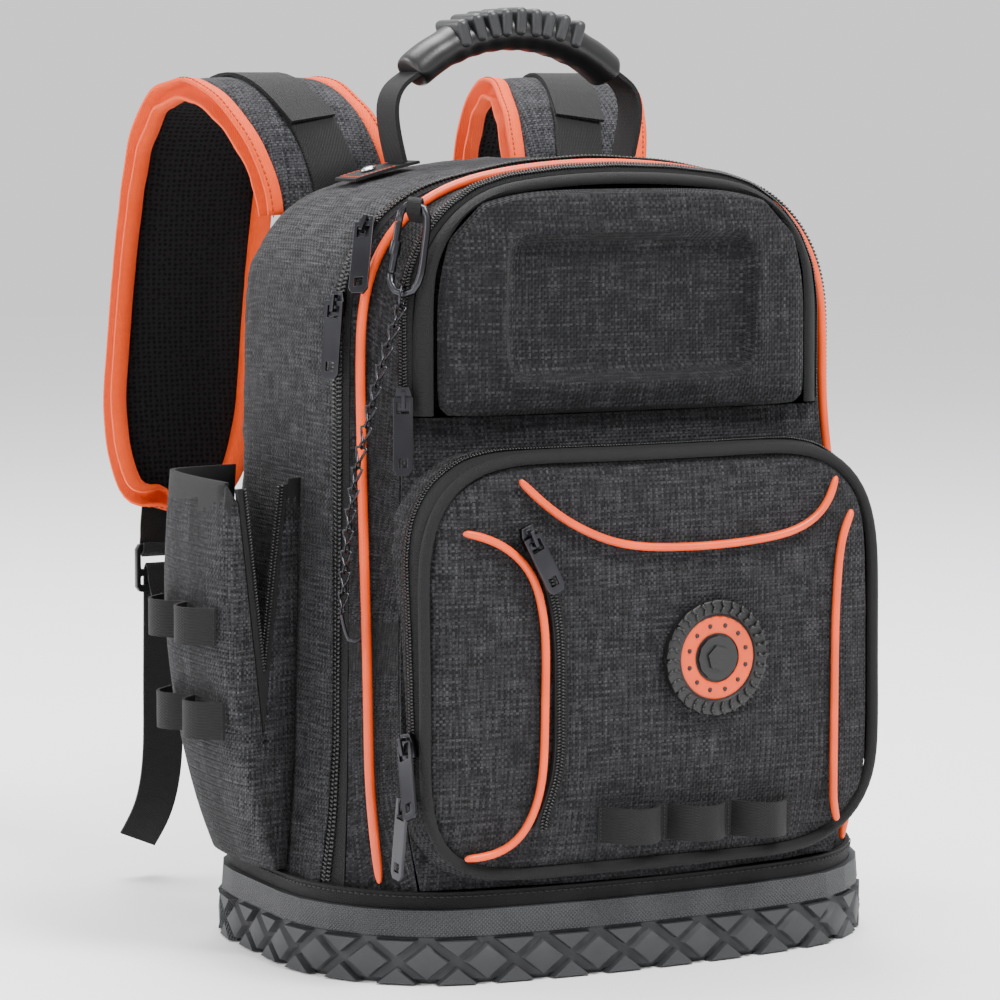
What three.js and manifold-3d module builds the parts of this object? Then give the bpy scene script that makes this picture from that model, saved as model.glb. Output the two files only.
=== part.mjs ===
// Tool backpack on a rubber boot: canvas body, moulded cover, front pocket, side pocket, handle and straps.
// Millimetres, +Z up, the front faces -Y, the origin is on the floor under the middle of the boot.
import * as THREE from "three";
import { mergeVertices } from "three/addons/utils/BufferGeometryUtils.js";
import Module from "manifold-3d";

const wasm = await Module();
wasm.setup();

// Clearances and wall thicknesses
const GAP = 0.3;
const CANVAS = 2.4;
const TAPE = 1.6;

// Rubber boot
const BOOT = { width: 350, depth: 224, corner: 78, bow: 21.4, height: 40, wall: 10, floor: 5 };
const TREAD = { height: 25, depth: 4, pitch: 31, groove: 0.2, bevel: 0.86 };
const BINDING = { height: 8.7, inset: 5, thickness: 2.5 };

// Canvas body: half width and depth that the section table's shares refer to
const BODY = { halfWidth: 154, top: 434, back: 96, depth: 200, shoulder: 72, crown: 340 };
const FOOT = BOOT.height + GAP;
const FOOT_INSET = BINDING.inset + BINDING.thickness + 4 * GAP;
const WAIST = 310;
const BELLY = 125;
const SKIRT = 110;

// Padded back panel
const PAD = { width: 186, low: 62, top: 384, upper: 34, lower: 30, thick: 11 };

// Hard cover of the front compartment
const SHELL = { width: 221, low: 298, top: 417, corner: 51, foot: 10, depth: 9, wall: 3, sunk: 5, bow: 3 };
const RECESS = { width: 142, low: 320, top: 389, corner: 11, depth: 4.5, border: 5 };
const SHELL_BACK = BODY.back - BODY.depth + SHELL.sunk;
// Edge lines that follow the cover's side, at their distance outside it
const COVER_LINES = { strip: 15.8, shellZip: 11.2, shellSeam: 4.2 };

// Front pocket, proud of the body by its own depth
const POCKET = { width: 266, low: 51, top: 276, upper: 46, lower: 42, proud: 34, bow: 6, wall: 2.4, seat: 6 };
const POCKET_FRONT = BODY.back - BODY.depth - POCKET.proud;
const PIPING = 5.2;
const TRIM = 4.4;
const BADGE = { x: 31, z: 168.5, diameter: 62, thick: 5, edge: 4.6, ring: 3.2, hub: 24, nut: 14 };
const NOTCHES = 10;
const LOOPS = { left: -38, right: 81, height: 19, top: 93, slope: 4.5, bulge: 15, count: 3 };

// Side pocket on the left side
const POUCH = { low: 51, top: 262, front: -22, back: 68, wall: 2.2, lean: 0.4, seamX: 157 };
const NOTCH = { low: 121, tipX: 182, leftX: 201, rightX: 162, tape: 5 };
const ELASTIC = { height: 20, upper: 185, lower: 134, bulge: 13 };

// Carry handle
const HANDLE = { y: 36, foot: 71, bend: 77, grip: 62, webbing: 25, thick: 2.6, rise: 478, apex: 502 };
const GRIP = { width: 31, height: 23, ribs: 8, rib: 1.1 };
const PATCH = { from: -8, to: 31, rivet: 17 };
const RIVET = 9;

// Shoulder straps
const STRAP = { width: 76, thick: 12, end: 40, webbing: 30, edge: 2.4 };
const TAIL = { width: 25, thick: 1.6 };
const LOCK = { width: 38, thick: 4, bar: 4, slot: 11 };

// Zips, hook and chain
const COIL = 1.8;
const PULL = { width: 10.5, length: 40, thick: 1.7 };
const SLIDER = { width: 9, length: 13, height: 3.4 };
const BRIDGE = { height: 3.4, open: 3.2, arm: 3, leg: 1.6, width: 2 };
// Its loop is sewn in between the piping and the strip of the cover, at a height and this high off the cloth
const HOOK = { height: 46, width: 15, wire: 4.4, seam: 401.3, lift: 1.6 };
const HOOK_REACH = [-6.5, -10.6, 6.6];
const HOOK_UP = [9, 4, 46];
// Zip sliders: height, how far they face the front, and the way that the pull hangs
const ZIPS = {
  main_upper: { z: 396, facing: 0.8, hang: [-0.3, -0.42, -1] },
  main_lower: { z: 357, facing: 0.75, hang: [-0.05, 0.06, -1] },
  shell: { z: 308, facing: 2, hang: [-0.1, -0.2, -1], lift: 1.8 },
  pocket_upper: { z: 131, facing: 0.35, hang: [-0.16, -0.56, -1] },
  pocket_lower: { z: 100, facing: 0.12, hang: [-0.03, 0.12, -1] },
  slash: { x: -80, z: 238, run: [0.35, 0, -1], hang: [0.5, -0.05, -1], length: 32 },
};
// Places that the chain passes down to its end, from the top of the hook
const CHAIN_ROUTE = [
  [-22.5, -6, -84],
  [-29.5, -4.5, -112],
  [-35, -4, -134],
  [-38.5, -4, -153],
  [-41.5, -3, -179],
  [-43.5, -3, -206],
  [-44.5, -2, -219],
];
const LINK = { half: 6.1, width: 5.8, wire: 1.6, twist: 90, overlap: 0.35, steps: 10, sides: 5, ring: 5.6 };

const vec = (x, y, z) => new THREE.Vector3(x, y, z);
const mix = (a, b, t) => a + (b - a) * t;
const radians = (degrees) => (degrees * Math.PI) / 180;
const clamp01 = (t) => Math.min(1, Math.max(0, t));
const smooth = (t) => clamp01(t) ** 2 * (3 - 2 * clamp01(t));
const along = (p, direction, distance) => p.clone().addScaledVector(direction, distance);

// Geometry made closed: equal points merged, empty triangles dropped and the faces turned outwards
function closed(geometry) {
  const loose = geometry.index ? geometry.toNonIndexed() : geometry;
  const bare = new THREE.BufferGeometry().setAttribute("position", loose.getAttribute("position").clone());
  const merged = mergeVertices(bare, 2e-3);
  const corners = [];
  const at = (i) => new THREE.Vector3().fromBufferAttribute(merged.getAttribute("position"), i);
  let volume = 0;
  for (let i = 0; i < merged.index.count; i += 3) {
    const [a, b, c] = [0, 1, 2].map((k) => merged.index.getX(i + k));
    if (a === b || b === c || c === a) continue;
    corners.push([a, b, c]);
    volume += at(a).dot(at(b).cross(at(c)));
  }
  merged.setIndex(corners.flatMap(([a, b, c]) => (volume < 0 ? [a, c, b] : [a, b, c])));
  return merged;
}

function fromFaces(faces) {
  const positions = [];
  for (const face of faces) {
    for (let k = 1; k < face.length - 1; k++) {
      for (const p of [face[0], face[k], face[k + 1]]) positions.push(p.x, p.y, p.z);
    }
  }
  const geometry = new THREE.BufferGeometry();
  return closed(geometry.setAttribute("position", new THREE.Float32BufferAttribute(positions, 3)));
}

const toSolid = (geometry) =>
  new wasm.Manifold(
    new wasm.Mesh({
      numProp: 3,
      vertProperties: geometry.getAttribute("position").array,
      triVerts: new Uint32Array(geometry.index.array),
    }),
  );

function toGeometry(solid) {
  const mesh = solid.getMesh();
  const points = [];
  for (let i = 0; i < mesh.vertProperties.length; i += mesh.numProp) {
    points.push(...mesh.vertProperties.slice(i, i + 3));
  }
  const geometry = new THREE.BufferGeometry();
  geometry.setAttribute("position", new THREE.Float32BufferAttribute(points, 3));
  geometry.setIndex([...mesh.triVerts]);
  return geometry;
}

const joined = (geometries) => toGeometry(geometries.map(toSolid).reduce((a, b) => a.add(b)));
const cut = (body, ...tools) =>
  toGeometry(tools.reduce((rest, tool) => rest.subtract(toSolid(tool)), toSolid(body)));

// A wall between an outer and an inner grid of points; cap closes the last row across its open side
function wall(outer, inner, { wrap = false, cap = false } = {}) {
  const faces = [];
  const rows = outer.length;
  const columns = outer[0].length;
  const last = wrap ? columns : columns - 1;
  for (let r = 0; r < rows - 1; r++) {
    for (let c = 0; c < last; c++) {
      const d = (c + 1) % columns;
      faces.push([outer[r][c], outer[r][d], outer[r + 1][d], outer[r + 1][c]]);
      faces.push([inner[r][c], inner[r + 1][c], inner[r + 1][d], inner[r][d]]);
    }
  }
  const end = rows - 1;
  for (let c = 0; c < last; c++) {
    const d = (c + 1) % columns;
    faces.push([outer[0][d], outer[0][c], inner[0][c], inner[0][d]]);
    if (!cap) faces.push([outer[end][c], outer[end][d], inner[end][d], inner[end][c]]);
  }
  if (!wrap) {
    const right = columns - 1;
    for (let r = 0; r < end; r++) {
      faces.push([outer[r][0], outer[r + 1][0], inner[r + 1][0], inner[r][0]]);
      faces.push([outer[r + 1][right], outer[r][right], inner[r][right], inner[r + 1][right]]);
    }
    if (cap) faces.push([outer[end][0], outer[end][right], inner[end][right], inner[end][0]]);
  }
  if (cap && wrap) {
    const middle = (row) => row.reduce((sum, p) => sum.add(p), vec(0, 0, 0)).divideScalar(row.length);
    const [front, back] = [middle(outer[end]), middle(inner[end])];
    for (let c = 0; c < columns; c++) {
      const d = (c + 1) % columns;
      faces.push([outer[end][c], outer[end][d], front]);
      faces.push([inner[end][d], inner[end][c], back]);
    }
  } else if (cap) {
    for (let i = 0; i < (columns - 1) / 2; i++) {
      const j = columns - 1 - i;
      faces.push([outer[end][i], outer[end][i + 1], outer[end][j - 1], outer[end][j]]);
      faces.push([inner[end][j], inner[end][j - 1], inner[end][i + 1], inner[end][i]]);
    }
  }
  return fromFaces(faces);
}

// A solid through closed rows of points, its two ends closed
function loft(rows) {
  const faces = [];
  const n = rows[0].length;
  const middle = (row) => row.reduce((sum, p) => sum.add(p), vec(0, 0, 0)).divideScalar(n);
  const [first, last] = [rows[0], rows[rows.length - 1]];
  const [start, end] = [middle(first), middle(last)];
  for (let c = 0; c < n; c++) {
    const d = (c + 1) % n;
    for (let r = 1; r < rows.length; r++) {
      faces.push([rows[r - 1][c], rows[r - 1][d], rows[r][d], rows[r][c]]);
    }
    if (n > 10) faces.push([first[d], first[c], start], [last[c], last[d], end]);
  }
  if (n <= 10) faces.push([...first].reverse(), last);
  return fromFaces(faces);
}

// Points with their tangent, side and normal along a route
function frames(points, sideOf) {
  return points.map((p, i) => {
    const before = points[Math.max(0, i - 1)];
    const after = points[Math.min(points.length - 1, i + 1)];
    const tangent = after.clone().sub(before).normalize();
    const hint = typeof sideOf === "function" ? sideOf(i) : sideOf;
    const side = along(hint, tangent, -hint.dot(tangent)).normalize();
    return { p, tangent, side, normal: tangent.clone().cross(side) };
  });
}

// A section of [side, normal] pairs carried along a route of frames
function sweep(route, sectionOf) {
  const section = (i) => (typeof sectionOf === "function" ? sectionOf(i / (route.length - 1)) : sectionOf);
  return loft(route.map((f, i) => section(i).map(([u, v]) => along(along(f.p, f.side, u), f.normal, v))));
}

const strip = (width, thick) => [
  [-width / 2, -thick / 2],
  [width / 2, -thick / 2],
  [width / 2, thick / 2],
  [-width / 2, thick / 2],
];
const roundSection = (width, height, sides) =>
  Array.from({ length: sides }, (_, k) => {
    const a = ((k + 0.5) * 2 * Math.PI) / sides;
    return [(width / 2) * Math.cos(a), (height / 2) * Math.sin(a)];
  });
const spline = (points) => new THREE.CatmullRomCurve3(points, false, "centripetal");
const curve = (points, steps) => spline(points).getSpacedPoints(steps);

// A round cord along a route, as an extruded many-sided shape
function cord(points, diameter, sides, steps) {
  const section = roundSection(diameter, diameter, sides).map(([x, y]) => new THREE.Vector2(x, y));
  const options = { steps, extrudePath: spline(points), bevelEnabled: false };
  return closed(new THREE.ExtrudeGeometry(new THREE.Shape(section), options));
}

// A round wire along a closed ring of points
function closedWire(points, diameter, sides) {
  const n = points.length;
  const tangents = points.map((p, i) => points[(i + 1) % n].clone().sub(points[(i + n - 1) % n]).normalize());
  const start = vec(0.3, 0.5, 0.8).cross(tangents[0]).normalize();
  const carried = [start];
  for (let i = 1; i <= n; i++) {
    const tangent = tangents[i % n];
    carried.push(along(carried[i - 1], tangent, -carried[i - 1].dot(tangent)).normalize());
  }
  const up = tangents[0].clone().cross(start);
  const turn = Math.atan2(carried[n].dot(up), carried[n].dot(start));
  const rows = points.map((p, i) => {
    const side = carried[i].clone().applyAxisAngle(tangents[i], (-turn * i) / n);
    const normal = tangents[i].clone().cross(side);
    return roundSection(diameter, diameter, sides).map(([u, v]) => along(along(p, side, u), normal, v));
  });
  const faces = [];
  rows.forEach((row, i) => {
    const next = rows[(i + 1) % n];
    row.forEach((q, c) => faces.push([q, row[(c + 1) % sides], next[(c + 1) % sides], next[c]]));
  });
  return fromFaces(faces);
}

// Boot outline at a corner angle: positive angles are the front corner, negative the back corner
function bootCorner(angle, inset) {
  const half = BOOT.width / 2 - inset;
  const radius = BOOT.corner - inset;
  const x = BOOT.width / 2 - BOOT.corner + radius * Math.cos(radians(Math.abs(angle)));
  const reach = BOOT.depth / 2 - BOOT.corner + radius * Math.sin(radians(Math.abs(angle)));
  return angle < 0 ? { x, y: reach } : { x, y: -reach - BOOT.bow * (1 - (x / half) ** 2) };
}

// Closed outline of the boot, counter-clockwise from the middle of the front
function bootOutline(inset, z, cornerSteps = 6, frontSteps = 3) {
  const half = [];
  const start = bootCorner(90, inset);
  const reach = BOOT.width / 2 - inset;
  for (let i = 0; i < frontSteps; i++) {
    const x = (start.x * i) / frontSteps;
    half.push({ x, y: start.y + BOOT.bow * ((x / reach) ** 2 - (start.x / reach) ** 2) });
  }
  for (let i = 0; i <= cornerSteps; i++) half.push(bootCorner(90 - (90 * i) / cornerSteps, inset));
  for (let i = 0; i <= cornerSteps; i++) half.push(bootCorner(-0.001 - (90 * i) / cornerSteps, inset));
  const left = half.slice(1).reverse();
  return [...half.map((p) => vec(p.x, p.y, z)), ...left.map((p) => vec(-p.x, p.y, z))];
}

// Edge lines of the body. Widths are shares of BODY.halfWidth and depths shares of BODY.depth from the back,
// above the waist and at the belly. The foot is an angle on the boot's corner. Top, shoulder and crown are
// shares of the body's height, shoulder radius and crown radius.
const EDGE_COLUMNS = ["width", "depth", "bellyWidth", "bellyDepth", "foot", "top", "shoulder", "crown"];
const EDGES = {
  backPanel: [0.79, 0, 0.82, -0.025, -90, 0.976, 0.92, 1],
  backCorner: [0.95, 0.06, 0.985, 0.04, -45, 0.99, 0.98, 1],
  sideBack: [1, 0.19, 1.045, 0.22, -5, 1, 1, 1],
  sideFront: [0.987, 0.69, 1.026, 0.74, 8, 1, 1.02, 1],
  zipOuter: [0.97, 0.755, 1.013, 0.815, 22, 0.998, 1.02, 1],
  zipInner: [0.94, 0.8, 1, 0.88, 34, 0.994, 1.02, 1],
  piping: [0.915, 0.83, 0.974, 0.97, 50, 0.99, 1.04, 1.1],
  strip: [0.82, 0.915, 0.915, 1.055, 66, 0.99, 1, 1.2],
  shellZip: [0.79, 0.945, 0.79, 0.945, 66, 0.98, 0.94, 1.3],
  shellSeam: [0.745, 0.985, 0.745, 0.985, 66, 0.97, 0.76, 1.4],
};

function edge(name) {
  const row = Object.fromEntries(EDGE_COLUMNS.map((column, i) => [column, EDGES[name][i]]));
  const beside = COVER_LINES[name];
  return {
    x: beside ? SHELL.width / 2 + beside : row.width * BODY.halfWidth,
    y: BODY.back - row.depth * BODY.depth,
    bellyX: row.bellyWidth * BODY.halfWidth,
    bellyY: BODY.back - row.bellyDepth * BODY.depth,
    foot: row.foot,
    top: FOOT + row.top * (BODY.top - FOOT),
    shoulder: row.shoulder * BODY.shoulder,
    crown: row.crown * BODY.crown,
  };
}

const between = (a, b, t) => Object.fromEntries(Object.keys(a).map((key) => [key, mix(a[key], b[key], t)]));

// Half width and depth of an edge line at a height
function sideAt(line, z, inset = 0) {
  const belly = smooth((WAIST - z) / (WAIST - BELLY));
  const skirt = smooth((SKIRT - z) / (SKIRT - FOOT - BINDING.height - GAP));
  const foot = bootCorner(line.foot, FOOT_INSET + Math.max(0, inset));
  return {
    x: mix(mix(line.x, line.bellyX, belly) - inset, foot.x, skirt),
    y: mix(mix(line.y, line.bellyY, belly), foot.y, skirt),
  };
}

// Centre, radius and end angle of an edge line's shoulder arc, tangent to its wide crown arc
function shoulderOf(line, inset = 0) {
  const radius = line.shoulder - inset;
  const cx = line.x - line.shoulder;
  const reach = line.crown - line.shoulder;
  const cz = line.top - line.crown + Math.sqrt(reach ** 2 - cx ** 2);
  return { cx, cz, radius, tilt: Math.asin(cx / reach) };
}

const HEM = BINDING.height + GAP; // upright stretch behind the boot's binding
const SIDE_STEPS = [0, 0.12, 0.26, 0.42, 0.62, 0.82, 1];
const SHORT_STEPS = [0, 0.5, 1];
const ARC_STEPS = 5;
const CROWN_STEPS = 2;

// Row of points along an edge line, from the left foot over the arch to the right foot
function arch(line, { inset = 0, push = 0, foot = FOOT } = {}) {
  const { cx, cz, radius, tilt } = shoulderOf(line, inset);
  const steps = foot > SKIRT ? SHORT_STEPS : SIDE_STEPS;
  const heights = [foot, ...steps.map((share) => mix(foot + HEM, cz, share))];
  const half = heights.map((z) => {
    const { x, y } = sideAt(line, z, inset);
    return vec(x, y + push, z);
  });
  for (let k = 1; k <= ARC_STEPS; k++) {
    const a = (k / ARC_STEPS) * (Math.PI / 2 - tilt);
    half.push(vec(cx + radius * Math.cos(a), line.y + push, cz + radius * Math.sin(a)));
  }
  const crown = line.crown - inset;
  for (let k = 1; k <= CROWN_STEPS; k++) {
    const a = tilt * (1 - k / CROWN_STEPS);
    half.push(vec(crown * Math.sin(a), line.y + push, line.top - line.crown + crown * Math.cos(a)));
  }
  const left = half.map((p) => vec(-p.x, p.y, p.z));
  return [...left, ...half.slice(0, -1).reverse()];
}

// Closed loop with four rounded corners in the XZ plane; depthOf gives each point its depth
function frameLoop({ width, low, top, upper, lower }, inset, depthOf, steps = 3) {
  const half = width / 2 - inset;
  const [z0, z1] = [low + inset, top - inset];
  const [ru, rl] = [Math.max(1, upper - inset), Math.max(1, lower - inset)];
  const flat = [];
  const line = (x0, za, x1, zb) => {
    for (let i = 1; i < steps; i++) flat.push([mix(x0, x1, i / steps), mix(za, zb, i / steps)]);
  };
  const corner = (x, z, radius, from) => {
    for (let i = 0; i <= steps + 1; i++) {
      const a = radians(from + (90 * i) / (steps + 1));
      flat.push([x + radius * Math.cos(a), z + radius * Math.sin(a)]);
    }
  };
  line(-half + rl, z0, half - rl, z0);
  corner(half - rl, z0 + rl, rl, -90);
  line(half, z0 + rl, half, z1 - ru);
  corner(half - ru, z1 - ru, ru, 0);
  line(half - ru, z1, -half + ru, z1);
  corner(-half + ru, z1 - ru, ru, 90);
  line(-half, z1 - ru, -half, z0 + rl);
  corner(-half + rl, z0 + rl, rl, 180);
  return flat.map(([x, z]) => vec(x, depthOf(x, z), z));
}

const group = new THREE.Group();
function add(name, geometry, color, roughness = 0.9, metalness = 0) {
  const material = new THREE.MeshStandardMaterial({ color, roughness, metalness });
  const mesh = new THREE.Mesh(closed(geometry), material);
  mesh.name = name;
  group.add(mesh);
  return mesh;
}
const mirrored = (geometry) => closed(geometry.clone().scale(-1, 1, 1));

const COLOR = {
  canvas: 0x2b2b2e,
  side: 0x3a3a3d,
  black: 0x141416,
  orange: 0xff6b2c,
  rubber: 0x3a3c3e,
  metal: 0x2c2c30,
  steel: 0x9a9da2,
};

// Rubber boot with a tread of diamonds and triangles round it
function makeBoot() {
  const outer = [
    bootOutline(BINDING.inset + 2, 0),
    bootOutline(TREAD.depth, 3),
    bootOutline(TREAD.depth, TREAD.height),
    bootOutline(1, TREAD.height + 1.5),
    bootOutline(2, BOOT.height),
  ];
  const { floor, height, wall: side } = BOOT;
  const inner = [floor, floor, floor, floor, height].map((z) => bootOutline(side + 2, z));
  const tray = wall([...outer].reverse(), [...inner].reverse(), { wrap: true, cap: true });
  const path = bootOutline(TREAD.depth, 0, 16, 8);
  const lengths = [0];
  path.forEach((p, i) => lengths.push(lengths[i] + p.distanceTo(path[(i + 1) % path.length])));
  const total = lengths[path.length];
  const count = Math.round(total / TREAD.pitch);
  const pitch = total / count;
  const mid = TREAD.height / 2;
  const share = 1 - TREAD.groove;
  const apex = mid * TREAD.groove;
  const reach = mid - 0.7;
  const half = (pitch / 2) * (reach / mid - TREAD.groove);
  const [wide, tall] = [(pitch / 2) * share, mid * share];
  const diamond = [
    [wide, 0],
    [0, tall],
    [-wide, 0],
    [0, -tall],
  ];
  const triangle = [
    [half, reach],
    [-half, reach],
    [0, apex],
  ];
  const shapes = [
    { at: 0, corners: diamond },
    { at: 0.5, corners: triangle },
    { at: 0.5, corners: triangle.map(([u, v]) => [-u, -v]) },
  ];
  let solid = toSolid(tray);
  for (let i = 0; i < count; i++) {
    for (const { at, corners } of shapes) {
      const s = ((i + at) * pitch) % total;
      const k = lengths.findIndex((length) => length > s) - 1;
      const [a, b] = [path[k], path[(k + 1) % path.length]];
      const tangent = b.clone().sub(a).normalize();
      const normal = vec(tangent.y, -tangent.x, 0);
      const centre = along(a, tangent, s - lengths[k]).setZ(mid);
      const mean = (n) => corners.reduce((sum, corner) => sum + corner[n], 0) / corners.length;
      const [cu, cv] = [mean(0), mean(1)];
      const layer = (out, scale) =>
        corners.map(([u, v]) => {
          const flat = along(along(centre, tangent, cu + (u - cu) * scale), normal, out);
          return flat.setZ(centre.z + cv + (v - cv) * scale);
        });
      const block = loft([layer(-1.5, 1), layer(TREAD.depth, TREAD.bevel)]);
      solid = solid.add(toSolid(block));
    }
  }
  add("rubber_base", toGeometry(solid), COLOR.rubber, 0.75);
}

function makeBaseBinding() {
  const z = [FOOT, FOOT + BINDING.height];
  const outer = z.map((height) => bootOutline(BINDING.inset, height));
  const inner = z.map((height) => bootOutline(BINDING.inset + BINDING.thickness, height));
  add("base_binding", wall(outer, inner, { wrap: true }), COLOR.black);
}

// Body: rear half with the back wall, zip band, and front half with its rear wall
function makeBody() {
  const half = GAP / 2;
  const rear = ["zipOuter", "sideFront", "sideBack", "backCorner", "backPanel"].map(edge);
  add(
    "rear_body",
    wall(
      rear.map((line, i) => arch(line, { push: i ? 0 : half })),
      rear.map((line, i) => arch(line, { inset: CANVAS, push: [half + 1, 1, 0, -CANVAS / 2, -CANVAS][i] })),
      { cap: true },
    ),
    COLOR.side,
  );
  const [outer, inner] = [edge("zipOuter"), edge("zipInner")];
  const rows = [0, 0.5, 1];
  add(
    "main_zipper",
    wall(
      rows.map((t, i) => arch(between(outer, inner, t), { inset: [0, -COIL, 0][i], push: (i - 1) * half })),
      rows.map((t, i) => arch(between(outer, inner, t), { inset: CANVAS, push: 1 + (i - 1) * half })),
    ),
    COLOR.black,
  );
  const seat = PIPING / 2 + 4 * GAP;
  const front = [edge("strip"), edge("piping"), edge("zipInner")];
  add(
    "front_body",
    wall(
      front.map((line, i) => arch(line, { inset: [0, seat, 0][i], push: [0, 1.5, -half][i] })),
      front.map((line, i) => arch(line, { inset: CANVAS + [0, seat, 0][i], push: [0, 2.5, -CANVAS][i] })),
      { cap: true },
    ),
    COLOR.canvas,
  );
  const tube = arch(edge("piping"), { foot: FOOT + BINDING.height + PIPING / 2 });
  add("edge_piping", cord(tube, PIPING, 5, 34), COLOR.orange, 0.6);
}

function makeBackPad() {
  const back = (z) => sideAt(edge("backPanel"), z).y + GAP;
  const rows = [
    { inset: 0, share: 0 },
    { inset: -2, share: 0.36 },
    { inset: 10, share: 0.9 },
    { inset: 60, share: 1 },
  ];
  const loops = rows.map(({ inset, share }) => frameLoop(PAD, inset, (x, z) => back(z) + share * PAD.thick));
  add("back_pad", loft(loops), COLOR.black);
}

// Cover: zip band, bound edge and moulded shell with a bare sunk panel
function makeCover() {
  const foot = SHELL.low + 1;
  const [strip, zip, seam] = ["strip", "shellZip", "shellSeam"].map(edge);
  const half = GAP / 2;
  const zipRows = [strip, between(strip, zip, 0.55), zip];
  const raise = [0, -COIL, 0];
  const shift = [-GAP, 0, half];
  add(
    "shell_zipper",
    wall(
      zipRows.map((line, i) => arch(line, { inset: raise[i], push: shift[i], foot })),
      zipRows.map((line, i) => arch(line, { inset: TAPE, push: shift[i] + (i ? 1 : 0), foot })),
    ),
    COLOR.black,
  );
  const seamRows = [zip, between(zip, seam, 0.5), seam];
  add(
    "shell_binding",
    wall(
      seamRows.map((line, i) => arch(line, { inset: [0, -2, 0][i], push: [-half, -1, half][i], foot })),
      seamRows.map((line, i) => arch(line, { inset: CANVAS, push: [1, 1, 2][i], foot })),
    ),
    COLOR.black,
  );
  const rim = { ...SHELL, upper: SHELL.corner, lower: SHELL.foot };
  const sunk = { ...RECESS, upper: RECESS.corner, lower: RECESS.corner };
  const bow = (x) => SHELL.bow * (1 - ((2 * x) / SHELL.width) ** 2);
  const face = SHELL_BACK - SHELL.depth;
  const depths = [SHELL_BACK - 0.5, SHELL_BACK - SHELL.depth * 0.7, face, face, face + RECESS.depth];
  const shapes = [
    [rim, 0],
    [rim, 2.5],
    [rim, 9],
    [sunk, -RECESS.border],
    [sunk, 0],
  ];
  const outer = shapes.map(([shape, inset], i) => frameLoop(shape, inset, (x) => depths[i] - bow(x), 2));
  const inner = shapes.map(([shape, inset], i) => {
    const more = i < 3 ? SHELL.wall : -SHELL.wall / 2;
    return frameLoop(shape, inset + more, (x) => depths[i] - bow(x) + (i ? SHELL.wall : 0), 2);
  });
  add("hard_shell", wall(outer, inner, { wrap: true, cap: true }), COLOR.canvas, 0.8);
}

// Canvas front below the cover, bowed like the boot at its foot
const PANEL = { low: FOOT + BINDING.height + GAP, top: SHELL.low - GAP, bow: 10 };
const panelHeights = [
  PANEL.low,
  ...arch(edge("strip"))
    .slice(2, 7)
    .map((p) => p.z)
    .filter((z) => z < PANEL.top - 5),
  PANEL.top,
];
const panelRows = panelHeights.map((z) => {
  const foot = smooth((SKIRT - z) / (SKIRT - FOOT));
  return { z, ...sideAt(edge("strip"), z), bow: mix(PANEL.bow, BOOT.bow * 0.85, foot) };
});
function panelDepth(x, z) {
  const above = panelRows.findIndex((row) => row.z > z);
  const k = above < 0 ? panelRows.length - 2 : Math.max(0, above - 1);
  const [low, high] = [panelRows[k], panelRows[k + 1]];
  const row = between(low, high, (z - low.z) / (high.z - low.z));
  return row.y - GAP - CANVAS - row.bow * (1 - (x / row.x) ** 2);
}

const PANEL_SHARES = [-1, -0.7, -0.35, 0, 0.35, 0.7, 1];
const panelGrid = (back, shares = PANEL_SHARES) =>
  panelRows.map(({ x, z }) => shares.map((share) => vec(share * x, panelDepth(share * x, z) + back, z)));
// Space that the pocket leaves free for the panel behind it
const ROOM_SHARES = [-1.12, ...PANEL_SHARES, 1.12];
const panelRoom = () => wall(panelGrid(-GAP, ROOM_SHARES), panelGrid(BODY.depth / 4, ROOM_SHARES));

function makeFrontPanel() {
  add("front_panel", wall(panelGrid(0), panelGrid(CANVAS)), COLOR.canvas);
}

// Front pocket
function pocketFront(x, z) {
  const under = 13 * smooth((POCKET.low + 45 - z) / 45);
  const over = 2 * smooth((z - POCKET.top + 36) / 40);
  return POCKET_FRONT - POCKET.bow * (1 - ((2 * x) / POCKET.width) ** 2) + under + over;
}
// Columns: inset from the pocket's edge, rise of its lower edge, and share of the way from panel to front
const POCKET_ROWS = [
  { inset: -5, rise: 0, reach: 0 },
  { inset: -4, rise: 3, reach: 0.5 },
  { inset: 0, rise: 9, reach: 0.9 },
  { inset: 5, rise: 18, reach: 1 },
  { inset: 42, rise: 56, reach: 1 },
  { inset: 84, rise: 98, reach: 1 },
];
function pocketLoop({ inset, rise, reach }, more = 0, push = 0) {
  const shape = { ...POCKET, low: POCKET.low + rise - inset };
  return frameLoop(shape, inset + more, (x, z) => {
    const back = panelDepth(x, z) + POCKET.seat;
    return Math.min(mix(back, pocketFront(x, z), reach) + push, back);
  });
}

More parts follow.
